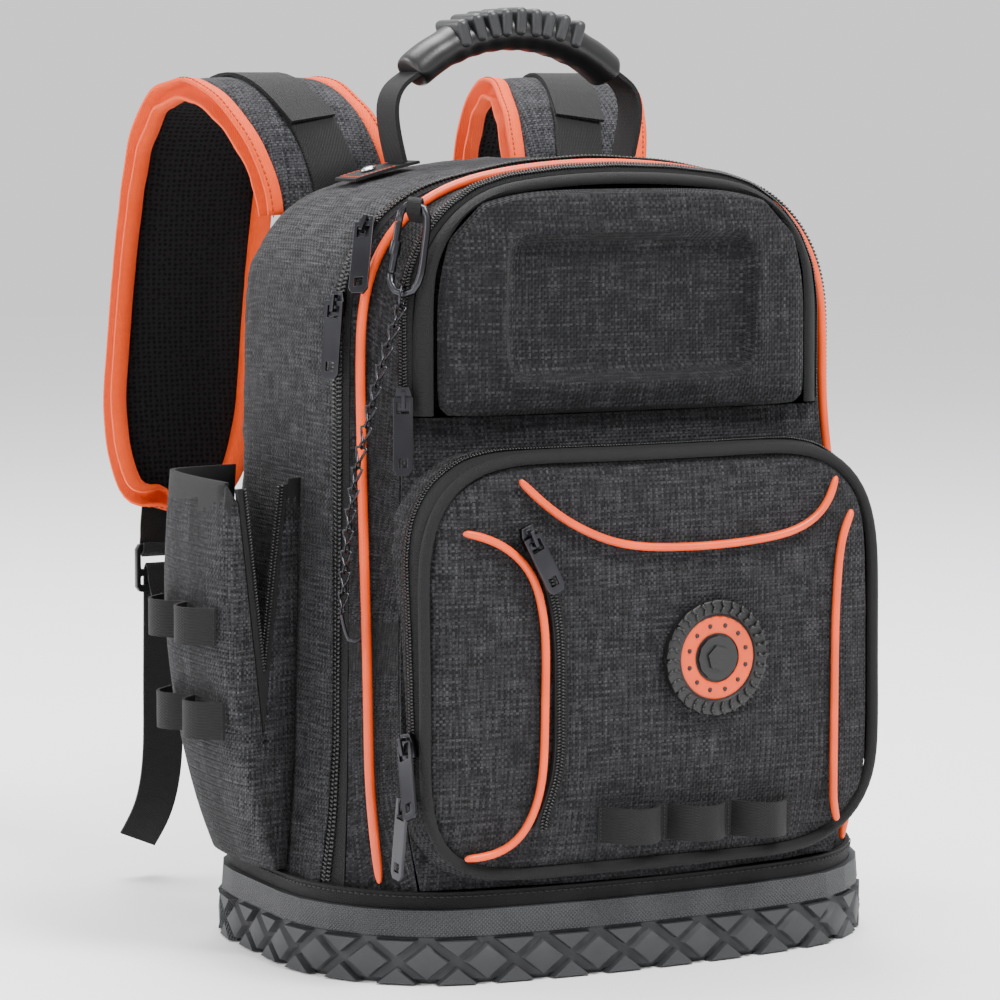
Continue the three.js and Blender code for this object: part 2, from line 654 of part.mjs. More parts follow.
function makePocket() {
  const outer = POCKET_ROWS.map((row) => pocketLoop(row));
  const { wall: thick } = POCKET;
  const inner = POCKET_ROWS.map((row, i) => pocketLoop(row, i < 4 ? thick : 0, i > 1 ? thick : 0));
  add("lower_pocket", cut(wall(outer, inner, { wrap: true, cap: true }), panelRoom()), COLOR.canvas);

  const lift = GAP + 0.2;
  const zipLines = [0.05, 0.25, 0.65, 0.85].map((t) => between(POCKET_ROWS[1], POCKET_ROWS[2], t));
  const zipRows = zipLines.map((line, i) => pocketLoop(line, -lift - TAPE + (i % 3 ? -COIL : 0)));
  const under = zipLines.map((line) => pocketLoop(line, -lift));
  const upper = (row) => {
    const start = row.findIndex((p, i) => i > 2 && p.x > 0 && p.z > 88);
    const count = row.filter((p, i) => i >= start && p.z > 88).length;
    return row.slice(start, start + count);
  };
  add("pocket_zipper", cut(wall(zipRows.map(upper), under.map(upper)), panelRoom()), COLOR.black);

  const edgeLoop = pocketLoop(POCKET_ROWS[2], -1);
  const middle = (POCKET.low + POCKET.top) / 2;
  const beads = edgeLoop.map((p) => along(p, vec(p.x, -110, p.z - middle).normalize(), 3.7));
  const bead = new THREE.CatmullRomCurve3(beads, true, "centripetal").getSpacedPoints(34).slice(0, -1);
  add("pocket_binding", closedWire(bead, 5, 5), COLOR.black);
}

// Piping and the slash zip lie on the pocket's front
const onPocket = (x, z, out) => vec(x, pocketFront(x, z) - out, z);
const PIPING_ROUTES = {
  pocket_piping_top: [
    [-84, 268],
    [-63, 249],
    [-30, 233],
    [0, 229],
    [55, 230],
    [88, 236],
    [103, 248],
    [108, 262],
  ],
  pocket_piping_left: [
    [-116, 242],
    [-98, 237],
    [-79, 222],
    [-71, 198],
    [-70, 150],
    [-74, 98],
    [-86, 74],
    [-106, 69],
    [-112, 70],
  ],
  pocket_piping_right: [
    [118, 243],
    [112, 231],
    [108, 198],
    [107, 138],
    [107, 92],
    [110, 78],
    [114, 72],
  ],
};
const SLASH_ROUTE = [
  [-79, 241],
  [-64, 203],
  [-61, 150],
  [-63, 110],
  [-72, 84],
];

function makePocketTrim() {
  const out = TRIM / 2 + GAP + 0.1;
  for (const [name, route] of Object.entries(PIPING_ROUTES)) {
    add(name, cord(route.map(([x, z]) => onPocket(x, z, out)), TRIM, 5, 14), COLOR.orange, 0.6);
  }
  const points = curve(SLASH_ROUTE.map(([x, z]) => onPocket(x, z, 1.8)), 12);
  const route = frames(points, vec(1, 0, 0));
  add("slash_zipper", sweep(route, strip(7, 2.4)), COLOR.black);
}

// Round badge: notched rim, flat ring and hub with a raised hexagon
function makeBadge() {
  const radius = BADGE.diameter / 2;
  const turn = new THREE.Matrix4().makeRotationX(Math.PI);
  const disc = (r, height, sides, start) => {
    const solid = new THREE.CylinderGeometry(r, r, height, sides, 1);
    return closed(solid.rotateY(radians(start)).translate(0, height / 2, 0));
  };
  const { thick, edge: rise, ring } = BADGE;
  const profile = [
    [0, 0],
    [radius, 0],
    [radius, rise - 1],
    [radius - 1.5, rise],
    [radius - 7, rise],
    [radius - 8, ring],
    [0, ring],
  ];
  const rim = new THREE.LatheGeometry(
    profile.map(([x, y]) => new THREE.Vector2(x, y)),
    20,
  );
  const notches = Array.from({ length: NOTCHES }, (_, k) => {
    const box = new THREE.BoxGeometry(3.4, 4, 2.4);
    return closed(box.translate(radius, 4.2, 0).rotateY((2 * Math.PI * k) / NOTCHES));
  });
  const hub = disc(BADGE.hub / 2, thick, 12, 0);
  const nut = disc(BADGE.nut / 2, thick + 1.2, 6, 15);
  const body = joined([cut(closed(rim), ...notches), hub, nut]);
  const centre = onPocket(BADGE.x, BADGE.z, GAP + 0.35);
  body.applyMatrix4(turn).rotateZ(0.021).translate(...centre.toArray());
  add("badge", body, COLOR.black, 0.6);
}

// Ribbon sewn down at even places with open bulges between them
function loopRoute(count, from, to, bulge, place) {
  const points = [];
  const span = (to - from) / count;
  const flat = 2.5;
  for (let i = 0; i < count; i++) {
    for (let k = 0; k <= 6; k++) {
      const u = from + i * span + mix(flat, span - flat, k / 6);
      if (k === 0) points.push(place(u - 2 * flat + (i ? 0 : flat), 0));
      points.push(place(u, bulge * Math.sin((Math.PI * k) / 6) ** 0.7));
    }
  }
  points.push(place(to, 0));
  return points;
}

function makeToolLoops() {
  const fall = LOOPS.slope / (LOOPS.right - LOOPS.left);
  const mid = (x) => LOOPS.top - LOOPS.height / 2 - fall * (x - LOOPS.left);
  const place = (x, out) => onPocket(x, mid(x), out + TAPE / 2 + GAP + 0.6);
  const route = frames(loopRoute(LOOPS.count, LOOPS.left, LOOPS.right, LOOPS.bulge, place), vec(0, 0, 1));
  add("tool_loops", sweep(route, strip(LOOPS.height, TAPE)), COLOR.black);
}

// Side pocket: an open pouch with a notch for its zip
function bagSide(y, z) {
  const [back, front, zip] = ["sideBack", "sideFront", "zipOuter"].map((name) => sideAt(edge(name), z));
  const [a, b] = y < front.y ? [front, zip] : [back, front];
  return mix(a.x, b.x, clamp01((a.y - y) / (a.y - b.y)));
}
// Columns: share of the pouch's height and its outward reach from the seam line
const POUCH_ROWS = [
  { share: 1, reach: 45 },
  { share: 0.73, reach: 50 },
  { share: 0.54, reach: 48 },
  { share: 0.33, reach: 42 },
  { share: 0.12, reach: 31 },
  { share: 0, reach: 21 },
];
const pouchReach = (z) => {
  const share = (z - POUCH.low) / (POUCH.top - POUCH.low);
  const above = POUCH_ROWS.findIndex((row) => row.share <= share) - 1;
  const k = Math.min(POUCH_ROWS.length - 2, Math.max(0, above));
  const [a, b] = [POUCH_ROWS[k], POUCH_ROWS[k + 1]];
  return mix(a.reach, b.reach, (a.share - share) / (a.share - b.share));
};
function pouchRow(z, inset) {
  const outerX = POUCH.seamX + pouchReach(z) - inset;
  const gusset = (x) => POUCH.front - (x - POUCH.seamX) * POUCH.lean + inset;
  const seam = (y) => bagSide(y, z) + GAP + 0.5;
  const back = POUCH.back - inset;
  return [
    vec(-seam(POUCH.front), gusset(seam(POUCH.front)), z),
    vec(-(outerX - 5), gusset(outerX - 5), z),
    vec(-outerX, gusset(outerX - 5) + 6, z),
    vec(-(outerX + 3), 12, z),
    vec(-outerX, back - 14, z),
    vec(-(outerX - 6), back - 6, z),
    vec(-seam(back), back, z),
  ];
}
function pouchSide(y, z) {
  const row = pouchRow(z, 0).slice(2, 5);
  const k = y < row[1].y ? 0 : 1;
  return mix(row[k].x, row[k + 1].x, clamp01((y - row[k].y) / (row[k + 1].y - row[k].y)));
}

function makeSidePocket() {
  const heights = POUCH_ROWS.map((row) => mix(POUCH.low, POUCH.top, row.share));
  const outer = heights.map((z) => pouchRow(z, 0));
  const inner = heights.map((z, i) => {
    const row = pouchRow(z, POUCH.wall);
    return i === heights.length - 1 ? row.map((p) => p.setZ(z + POUCH.wall)) : row;
  });
  const body = wall(outer, inner, { cap: true });
  const slope = Math.atan(POUCH.lean);
  const across = (x) => (x - POUCH.seamX) / Math.cos(slope);
  const top = POUCH.top + 10;
  const shape = (points) => new THREE.Shape(points.map(([x, z]) => new THREE.Vector2(across(x), z)));
  const edges = [
    [NOTCH.tipX, NOTCH.low],
    [NOTCH.leftX, top],
    [NOTCH.rightX, top],
  ];
  const stand = (geometry, depth) =>
    closed(
      geometry
        .translate(0, 0, -depth / 2)
        .rotateX(Math.PI / 2)
        .scale(-1, 1, 1)
        .rotateZ(slope)
        .translate(-POUCH.seamX, POUCH.front + POUCH.wall / 2, 0),
    );
  const prism = new THREE.ExtrudeGeometry(shape(edges), { depth: 16, bevelEnabled: false });
  add("side_pocket", cut(body, stand(prism, 16)), COLOR.side);
  const rim = POUCH.top - 3;
  const notchAt = (side) => mix(NOTCH.tipX, side, (rim - NOTCH.low) / (top - NOTCH.low));
  const [left, right] = [notchAt(NOTCH.leftX) - 2 * GAP, notchAt(NOTCH.rightX) + 2 * GAP];
  const vee = [
    [NOTCH.tipX, NOTCH.low + 6],
    [left, rim],
    [left - NOTCH.tape, rim],
    [NOTCH.tipX, NOTCH.low + 42],
    [right + NOTCH.tape, rim],
    [right, rim],
  ];
  const band = new THREE.ExtrudeGeometry(shape(vee), { depth: CANVAS, bevelEnabled: false });
  add("side_pocket_zipper", stand(band, CANVAS), COLOR.black);
  for (const [name, z] of [["side_loops_upper", ELASTIC.upper], ["side_loops_lower", ELASTIC.lower]]) {
    const widest = Math.max(...[-0.5, 0, 0.5].map((share) => pouchReach(z + share * ELASTIC.height)));
    const slack = widest - pouchReach(z) + TAPE / 2 + GAP + 0.4;
    const place = (y, out) => vec(pouchSide(y, z) - out - slack, y, z);
    const route = frames(loopRoute(2, -30, 46, ELASTIC.bulge, place), vec(0, 0, 1));
    add(name, sweep(route, strip(ELASTIC.height, TAPE)), COLOR.black);
  }
}

// Carry handle: webbing through a ribbed grip, its feet on riveted patches
function makeHandle() {
  const sag = HANDLE.apex - HANDLE.rise;
  const radius = (HANDLE.grip ** 2 + sag ** 2) / (2 * sag);
  const sweepAngle = Math.asin(HANDLE.grip / radius);
  const arcPoint = (a) => vec(radius * Math.sin(a), HANDLE.y, HANDLE.apex - radius + radius * Math.cos(a));
  const gripSteps = 2 * GRIP.ribs + 6;
  const gripPoints = Array.from({ length: gripSteps + 1 }, (_, i) =>
    arcPoint(mix(-sweepAngle, sweepAngle, i / gripSteps)),
  );
  const seat = edgeHeight(HANDLE.foot) + TAPE + 2 * GAP + 0.6;
  const rise = HANDLE.rise - seat;
  const leg = [[0, 0], [0.7, 0.34], [1, 0.66], [0.2, 0.88]].map(([bend, share]) =>
    vec(-mix(HANDLE.foot, HANDLE.bend, bend), HANDLE.y, seat + share * rise),
  );
  const right = leg.map((p) => vec(-p.x, p.y, p.z)).reverse();
  const hint = vec(0, 1, 0);
  const inside = gripPoints.filter((p, i) => i % 2 === 0);
  const band = frames([...leg, ...inside, ...right], hint);
  add("handle_webbing", sweep(band, strip(HANDLE.webbing, HANDLE.thick)), COLOR.black);
  const route = frames(gripPoints, hint);
  const outer = sweep(route, (t) => {
    const i = Math.round(t * gripSteps);
    const inRibs = i > 3 && i < gripSteps - 3;
    const size = inRibs ? (i % 2 ? GRIP.rib : -GRIP.rib / 2) : 0;
    return roundSection(GRIP.width + size, GRIP.height + 2 * size, 8);
  });
  const [first, last] = [route[0], route[gripSteps]];
  const long = frames([along(first.p, first.tangent, -2), ...inside, along(last.p, last.tangent, 2)], hint);
  const bore = sweep(long, strip(HANDLE.webbing + 2 * GAP, HANDLE.thick + 2 * GAP));
  add("handle_grip", cut(outer, bore), COLOR.black, 0.5);

  const patchRoute = [0, 0.25, 0.5, 0.75, 1].map((share) => {
    const x = HANDLE.foot + mix(PATCH.from, PATCH.to, share);
    return vec(x, HANDLE.y, edgeHeight(x) + TAPE / 2 + GAP + 0.3);
  });
  const patch = sweep(frames(patchRoute, hint), strip(HANDLE.webbing + 3, TAPE));
  const rivetX = HANDLE.foot + PATCH.rivet;
  const slope = (edgeHeight(rivetX + 2) - edgeHeight(rivetX - 2)) / 4;
  const profile = [
    [0, 0],
    [RIVET / 2, 0],
    [RIVET / 2, 0.8],
    [RIVET / 3, 1.8],
    [0, 2.2],
  ];
  const dome = new THREE.LatheGeometry(
    profile.map(([x, y]) => new THREE.Vector2(x, y)),
    12,
  );
  const rivet = closed(
    dome
      .rotateX(Math.PI / 2)
      .rotateY(-Math.atan(slope))
      .translate(rivetX, HANDLE.y, edgeHeight(rivetX) + TAPE + 2 * GAP + 0.5),
  );
  add("handle_patch_left", mirrored(patch), COLOR.black);
  add("handle_patch_right", patch, COLOR.black);
  add("rivet_left", mirrored(rivet), COLOR.steel, 0.3, 1);
  add("rivet_right", rivet, COLOR.steel, 0.3, 1);
}

// Height of the top of the bag at a distance from its middle, near the handle
function edgeHeight(x) {
  const line = between(edge("sideFront"), edge("sideBack"), 0.78);
  const { cx, cz, radius, tilt } = shoulderOf(line);
  if (x < line.crown * Math.sin(tilt)) return line.top - line.crown + Math.sqrt(line.crown ** 2 - x ** 2);
  return cz + Math.sqrt(radius ** 2 - (x - cx) ** 2);
}

// Route of the left strap's middle, from its seam on the back wall over the peak to its end
const STRAP_ROUTE = [
  [-76, 104, 388],
  [-78, 106, 414],
  [-84, 118, 442],
  [-92, 142, 464],
  [-99, 173, 474],
  [-104, 205, 467],
  [-107, 230, 443],
  [-109, 242, 400],
  [-113, 247, 346],
  [-119, 244, 290],
  [-126, 237, 247],
  [-132, 229, 219],
];
const LOCK_AT = [-136, 225.2, 184];
// Lower webbing from its seam on the back wall up to the lock, and its tail's drop from the lock
const LOWER_ROUTE = [
  [-108, 107, 78],
  [-109, 108.5, 96],
  [-114, 130, 122],
  [-128, 172, 150],
];
const TAIL_ROUTE = [
  [-1, 3, -64],
  [-3, 2, -122],
  [-9, 4, -148],
  [-16, 9, -162],
];

function makeStrap() {
  const steps = 13;
  const middle = curve(STRAP_ROUTE.map(([x, y, z]) => vec(x, y, z)), steps);
  const route = frames(middle, vec(1, 0, 0));
  const wide = (t) => mix(STRAP.width - 8, STRAP.width, smooth(t / 0.3));
  const widthAt = (t) => mix(wide(t), STRAP.end, smooth((t - 0.88) / 0.12));
  const thickAt = (t) => mix(STRAP.thick, STRAP.thick * 0.6, smooth((t - 0.85) / 0.15));
  const pad = (t) => {
    const [w, h] = [widthAt(t) / 2, thickAt(t) / 2];
    const half = [
      [w, -h * 0.5],
      [w, h * 0.5],
      [w - 5, h],
    ];
    const rest = half.map(([u, v]) => [-u, -v]);
    return [[w - 5, -h], ...half, [-w + 5, h], ...rest.slice(0, 2), [-w + 5, -h]];
  };
  const parts = { strap_pad: sweep(route, pad) };

  const out = 4 * GAP + STRAP.edge / 2;
  const start = 2;
  const stations = route.map((f, i) => ({ ...f, half: widthAt(i / steps) / 2 + out })).slice(start);
  const last = stations[stations.length - 1];
  const foot = along(last.p, last.tangent, out);
  const rim = [
    ...stations.map((f) => [along(f.p, f.side, -f.half), f.normal]),
    ...[-0.8, 0.8].map((share) => [along(foot, last.side, share * last.half), last.normal]),
    ...[...stations].reverse().map((f) => [along(f.p, f.side, f.half), f.normal]),
  ];
  const rimRoute = frames(rim.map(([p]) => p), (i) => rim[i][1]);
  parts.strap_binding = sweep(rimRoute, (t) => strip(thickAt(2 * Math.min(t, 1 - t)) + 1, STRAP.edge));

  const lift = (t) => -(thickAt(t) / 2 + GAP + 1.6);
  const [lx, ly, lz] = LOCK_AT;
  const side = LOCK.thick / 2 + 1.7;
  const upper = LOCK.bar / 2 + LOCK.slot;
  const over = route.map((f, i) => along(f.p, f.normal, lift(i / steps))).slice(2);
  const past = along(along(over[over.length - 1], last.tangent, 9), last.normal, -0.8);
  const atLock = (x, out, z) => vec(lx + x, ly + out, lz + z);
  const hem = [
    atLock(1, side, upper + LOCK.bar + 1),
    atLock(0, side, upper),
    atLock(0, 0, upper - 2.9),
    atLock(0, -side, upper),
    atLock(0, -side, upper + LOCK.bar + 1),
  ];
  parts.strap_webbing = sweep(frames([...over, past, ...hem], vec(1, 0, 0)), strip(STRAP.webbing, TAPE));

  const top = LOCK.bar / 2;
  const lower = curve([...LOWER_ROUTE.map((p) => vec(...p)), atLock(2, -side - 6, top - 24)], 7);
  const [sewn] = LOWER_ROUTE;
  const back = sideAt(edge("backPanel"), sewn[2]).y;
  lower[0] = vec(sewn[0], back + TAIL.thick / 2 + GAP + 0.6, sewn[2]);
  const turn = [
    atLock(0, -side, top - 8),
    atLock(0, -side, top),
    atLock(0, 0, top + 2.9),
    atLock(0, side, top),
    atLock(0, side, top - 10),
  ];
  const tail = curve([atLock(0, side, top - 16), ...TAIL_ROUTE.map((p) => atLock(...p))], 8);
  const whole = frames([...lower, ...turn, ...tail], vec(1, 0, 0));
  parts.lower_webbing = sweep(whole, strip(TAIL.width, TAIL.thick));

  const frame = new THREE.Shape();
  const [w, bottom, head] = [LOCK.width / 2, -LOCK.bar / 2 - 9.5, upper + LOCK.bar];
  frame.moveTo(-w + 2, bottom);
  frame.lineTo(w - 2, bottom);
  frame.lineTo(w, bottom + 3);
  frame.lineTo(w, head - 3);
  frame.lineTo(w - 2, head);
  frame.lineTo(-w + 2, head);
  frame.lineTo(-w, head - 3);
  frame.lineTo(-w, bottom + 3);
  const open = STRAP.webbing / 2 + 1;
  const slot = (z0, z1) => {
    const path = new THREE.Path();
    path.moveTo(-open, z0);
    path.lineTo(-open, z1);
    path.lineTo(open, z1);
    path.lineTo(open, z0);
    return path;
  };
  frame.holes.push(slot(LOCK.bar / 2, upper), slot(bottom + LOCK.bar, -LOCK.bar / 2));
  const lock = new THREE.ExtrudeGeometry(frame, { depth: LOCK.thick, bevelEnabled: false });
  parts.ladder_lock = closed(lock.rotateX(Math.PI / 2).translate(lx, ly + LOCK.thick / 2, lz));

  const look = { strap_pad: COLOR.canvas, strap_binding: COLOR.orange };
  for (const [name, geometry] of Object.entries(parts)) {
    add(`${name}_left`, geometry, look[name] ?? COLOR.black);
    add(`${name}_right`, mirrored(geometry), look[name] ?? COLOR.black);
  }

  const at = route[Math.round(steps * 0.78)];
  const inner = along(at.p, at.side, widthAt(0.78) / 2 + 4 * GAP + STRAP.edge + 1);
  const dangle = [
    inner,
    along(inner, vec(0.7, -0.4, -0.6).normalize(), 8),
    along(inner, vec(0.4, -0.5, -1).normalize(), 24),
  ];
  add("sternum_webbing", sweep(frames(dangle, vec(0.3, -1, 0.3).normalize()), strip(18, 2)), COLOR.black);
  const buckle = new THREE.BoxGeometry(7, 24, 30);
  const end = along(dangle[2], vec(0, 0, -1), 19);
  add("sternum_buckle", buckle.translate(end.x, end.y, end.z), COLOR.black, 0.4);
}

// Zip slider with a bridge, and the pull whose top bar turns in it; run follows the zip and hang the pull
const hinges = {};
function makeZipPull(name, seat, outward, run, hang, length = PULL.length) {
  const basis = (across, down, n, at) => new THREE.Matrix4().makeBasis(across, down, n).setPosition(at);
  const polygon = (points) => points.map(([u, v]) => new THREE.Vector2(u, v));
  const box = (u0, u1, v0, v1) => polygon([[u0, v0], [u1, v0], [u1, v1], [u0, v1]]);
  const plate = (outline, holes, depth, start) => {
    const shape = new THREE.Shape(outline);
    for (const hole of holes) shape.holes.push(new THREE.Path(hole));
    return closed(new THREE.ExtrudeGeometry(shape, { depth, bevelEnabled: false }).translate(0, 0, start));
  };
  const n = outward.clone().normalize();
  const turned = run.clone().lerp(hang, 0.55);
  const down = along(turned, n, -turned.dot(n)).normalize();
  const across = down.clone().cross(n);
  const [w, l] = [SLIDER.width / 2, SLIDER.length / 2];
  const shield = [
    [-w * 0.7, -l],
    [w * 0.7, -l],
    [w, -l * 0.3],
    [w, l],
    [-w, l],
    [-w, -l * 0.3],
  ];
  const body = plate(polygon(shield), [], SLIDER.height, 0);
  const { height, open, arm, leg, width } = BRIDGE;
  const ends = arm + leg;
  const hole = box(-arm, arm, height, height + open);
  const bridge = plate(box(-ends, ends, height - 1, height + open + leg), [hole], width, -width / 2);
  bridge.applyMatrix4(basis(vec(0, 1, 0), vec(0, 0, 1), vec(1, 0, 0), vec(0, 0, 0)));
  const slider = joined([body, bridge]).applyMatrix4(basis(across, down, n, along(seat, n, GAP)));
  add(`slider_${name}`, slider, COLOR.metal, 0.35, 0.9);

  const lead = hang.clone().normalize();
  const side = lead.clone().cross(n).normalize();
  const face = side.clone().cross(lead);
  const pivot = along(seat, n, GAP + height + open / 2);
  const half = PULL.width / 2;
  const bar = open / 2 - 0.4;
  const tip = 3;
  const tongue = [
    [-half, -bar],
    [half, -bar],
    [half, length - tip],
    [half - 2, length],
    [-half + 2, length],
    [-half, length - tip],
  ];
  const pull = plate(
    polygon(tongue),
    [box(-arm - 0.4, arm + 0.4, bar, ends + 3), box(-2.4, 2.4, length - 3 * tip, length - tip - 1)],
    PULL.thick,
    -PULL.thick / 2,
  );
  add(`pull_${name}`, pull.applyMatrix4(basis(side, lead, face, pivot)), COLOR.metal, 0.35, 0.9);
  hinges[`pull_${name}`] = { at: pivot, axis: side };
}

// Point on the left of an edge line at a height, its way outwards and the way down the line
function leftOf(line, z, inset = 0) {
  const { cx, cz, radius } = shoulderOf(line, inset);
  if (z <= cz) {
    const { x, y } = sideAt(line, z, inset);
    return { at: vec(-x, y, z), away: vec(-1, 0, 0), run: vec(0, 0, -1) };
  }
  const x = Math.sqrt(radius ** 2 - (z - cz) ** 2);
  const [c, s] = [x / radius, (z - cz) / radius];
  return { at: vec(-cx - x, line.y, z), away: vec(-c, 0, s), run: vec(-s, 0, -c) };
}

function makeZipPulls() {
  const front = vec(0, -1, 0);
  const onLine = (name, line, { z, facing, hang, lift = 0 }) => {
    const { at, away, run } = leftOf(line, z, -COIL);
    const out = along(away, front, facing).normalize();
    makeZipPull(name, along(at, out, lift), out, run, vec(...hang));
  };
  onLine("main_upper", between(edge("zipOuter"), edge("zipInner"), 0.5), ZIPS.main_upper);
  onLine("main_lower", between(edge("zipOuter"), edge("zipInner"), 0.5), ZIPS.main_lower);
  onLine("shell", between(edge("strip"), edge("shellZip"), 0.55), ZIPS.shell);
  const line = between(POCKET_ROWS[1], POCKET_ROWS[2], 0.45);
  for (const name of ["pocket_upper", "pocket_lower"]) {
    const { z, facing, hang } = ZIPS[name];
    const x = POCKET.width / 2 - line.inset + GAP + 0.2 + TAPE + COIL + 0.6;
    const y = mix(panelDepth(x, z) + POCKET.seat, pocketFront(x, z), line.reach);
    makeZipPull(name, vec(-x, y, z), along(vec(-1, 0, 0), front, facing), vec(0, 0, -1), vec(...hang));
  }
  const { x, z, run, hang, length } = ZIPS.slash;
  makeZipPull("slash", onPocket(x, z, 1.8 + 1.2), front, vec(...run), vec(...hang), length);
}

// Snap hook on a webbing loop at the left seam
function makeHook() {
  const up = vec(...HOOK_UP).normalize();
  const across = vec(0.75, -0.66, 0).normalize();
  const right = along(across, up, -across.dot(up)).normalize();
  const out = up.clone().cross(right).multiplyScalar(-1);
  const seam = leftOf(between(edge("piping"), edge("strip"), 0.67), HOOK.seam);
  const anchor = along(seam.at, seam.away, HOOK.lift);
  const top = along(anchor, vec(...HOOK_REACH), 1);
  const at = (u, v) => along(along(top, right, u), up, v);
  const [w, h] = [HOOK.width / 2, HOOK.height];
  const hinge = 0.76 * h;
  const stub = -hinge - 2.2;
  const nose = -h * 0.2;
  const path = [
    at(-w, stub),
    at(-w, stub - 4),
    at(-w * 0.5, -h),
    at(w * 0.5, -h),
    at(w, -h * 0.86),
    at(w * 1.1, -h * 0.45),
    at(w * 0.95, -h * 0.1),
    at(w * 0.5, 0),
    at(-w * 0.5, 0),
    at(-w * 0.95, -h * 0.1),
    at(-w, nose),
  ];
  add("snap_hook", cord(path, HOOK.wire, 6, 17), COLOR.metal, 0.3, 1);
  const sleeve = [2.2, 4, 4, 6, 6, 4, 4];
  const shares = [0, 0.06, 0.36, 0.38, 0.62, 0.64, 1];
  const gate = shares.map((share) => at(-w, mix(stub + GAP, nose - GAP - 0.1, share)));
  const gateSection = (t) => roundSection(sleeve[Math.round(6 * t)], sleeve[Math.round(6 * t)], 8);
  add("snap_gate", sweep(frames(gate, right), gateSection), COLOR.steel, 0.3, 1);
  hinges.snap_gate = { at: at(-w, -hinge), axis: out.clone().negate() };

  const lead = top.clone().sub(anchor).normalize();
  const flank = right.clone().cross(lead).normalize();
  const round = HOOK.wire / 2 + 2;
  const reach = anchor.distanceTo(top);
  const place = (s, t) => along(along(anchor, lead, s), flank, t);
  const back = [
    [0, 2.2],
    [reach * 0.5, 2.6],
    [reach - 1, round],
    [reach + round * 0.7, round * 0.7],
  ];
  const loop = [
    ...back.map(([s, t]) => place(s, -t)),
    place(reach + round, 0),
    ...[...back].reverse().map(([s, t]) => place(s, t)),
  ];
  add("hook_loop", sweep(frames(loop, right), strip(7.4, TAPE)), COLOR.black);
  return { eye: at(0, -h), top, up, out };
}

// Twisted links hung from a ring on the hook, ending in an open hook
function makeChain({ eye, top, up, out }) {
  const clear = LINK.ring - LINK.wire / 2 - HOOK.wire / 2 - GAP - 0.1;
  const centre = along(eye, up, -clear);
  const ring = Array.from({ length: LINK.steps }, (_, k) => {
    const a = (k * 2 * Math.PI) / LINK.steps;
    return along(along(centre, up, LINK.ring * Math.cos(a)), out, LINK.ring * Math.sin(a));
  });
  const pieces = [closedWire(ring, LINK.wire, LINK.sides)];
  const start = along(centre, up, -LINK.ring + LINK.wire - LINK.overlap);
  const places = CHAIN_ROUTE.map((p) => along(top, vec(...p), 1));
  const route = spline([start, ...places]);
  const pitch = 2 * LINK.half - LINK.wire + LINK.overlap;
  const length = route.getLength();
  const count = Math.floor(length / pitch);
  let end = start;
  for (let i = 0; i < count; i++) {
    const middle = route.getPointAt((i * pitch + LINK.half) / length);
    const tangent = route.getTangentAt((i * pitch + LINK.half) / length).negate();
    const first = along(out, tangent, -out.dot(tangent)).normalize().cross(tangent).normalize();
    const second = tangent.clone().cross(first);
    const wire = Array.from({ length: LINK.steps }, (_, k) => {
      const t = (k * 2 * Math.PI) / LINK.steps;
      const s = Math.cos(t);
      const turn = radians((LINK.twist / 2) * (s - 1));
      const spread = first.clone().multiplyScalar(Math.cos(turn)).addScaledVector(second, Math.sin(turn));
      const beside = tangent.clone().cross(spread);
      const reach = (LINK.width / 2) * Math.sin(2 * t);
      const line = along(along(middle, tangent, LINK.half * s), spread, reach);
      return along(line, beside, 0.62 * LINK.wire * Math.sin(t));
    });
    pieces.push(closedWire(wire, LINK.wire, LINK.sides));
    end = along(middle, tangent, -LINK.half);
  }
  const bends = [
    [0, 0, 0.2],
    [1, -0.5, -6],
    [4, -2, -14],
    [9, -4, -13],
  ];
  const hook = bends.map((p) => along(end, vec(...p), 1));
  pieces.push(cord(hook, LINK.wire + 0.6, 6, 6));
  add("tape_chain", joined(pieces), COLOR.metal, 0.4, 1);
}

makeBoot();
makeBaseBinding();
makeBody();
makeBackPad();
makeCover();
makeFrontPanel();
makePocket();
makePocketTrim();
makeBadge();
makeToolLoops();
makeSidePocket();
makeHandle();
makeStrap();
makeZipPulls();
makeChain(makeHook());
group.userData.hinges = hinges;

export default group;
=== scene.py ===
import math

import bmesh
import bpy
from mathutils import Matrix, Vector, noise
from mathutils.bvhtree import BVHTree


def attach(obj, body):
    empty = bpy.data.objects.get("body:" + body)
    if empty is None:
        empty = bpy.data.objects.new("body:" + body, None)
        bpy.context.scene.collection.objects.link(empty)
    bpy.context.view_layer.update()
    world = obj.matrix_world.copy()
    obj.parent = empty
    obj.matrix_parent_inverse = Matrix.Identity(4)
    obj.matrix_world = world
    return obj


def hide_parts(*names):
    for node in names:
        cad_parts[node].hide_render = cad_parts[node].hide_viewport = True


bl_info = {
    "name": "Tool Backpack",
    "version": (1, 0, 0),
    "blender": (4, 5, 0),
    "location": "View3D > Sidebar > Backpack",
    "description": "Canvas tool backpack on a moulded rubber boot",
    "category": "Object",
}

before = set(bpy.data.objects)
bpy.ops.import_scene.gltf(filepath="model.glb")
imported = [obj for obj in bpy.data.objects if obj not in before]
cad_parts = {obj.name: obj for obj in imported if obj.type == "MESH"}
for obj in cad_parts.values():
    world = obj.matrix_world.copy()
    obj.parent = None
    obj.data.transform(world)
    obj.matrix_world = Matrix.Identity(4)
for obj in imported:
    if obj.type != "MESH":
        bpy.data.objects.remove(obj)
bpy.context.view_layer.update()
MM = 0.001

# Points that cloth is wrapped round: across and up from the front, or across and back from above
ARCH_CENTRE = (0, 0.2)
PANEL_CENTRE = (0, 0.17)
BINDING_CENTRE = (0, 0.3)
COVER_CENTRE = (0, 0.36)
POCKET_CENTRE = (0, 0.165)
SIDE_POCKET_CENTRE = (-0.17, 0.02)

# Start and reach of the rays that find a surface
RAY_FROM = 0.3
RAY_REACH = 0.4

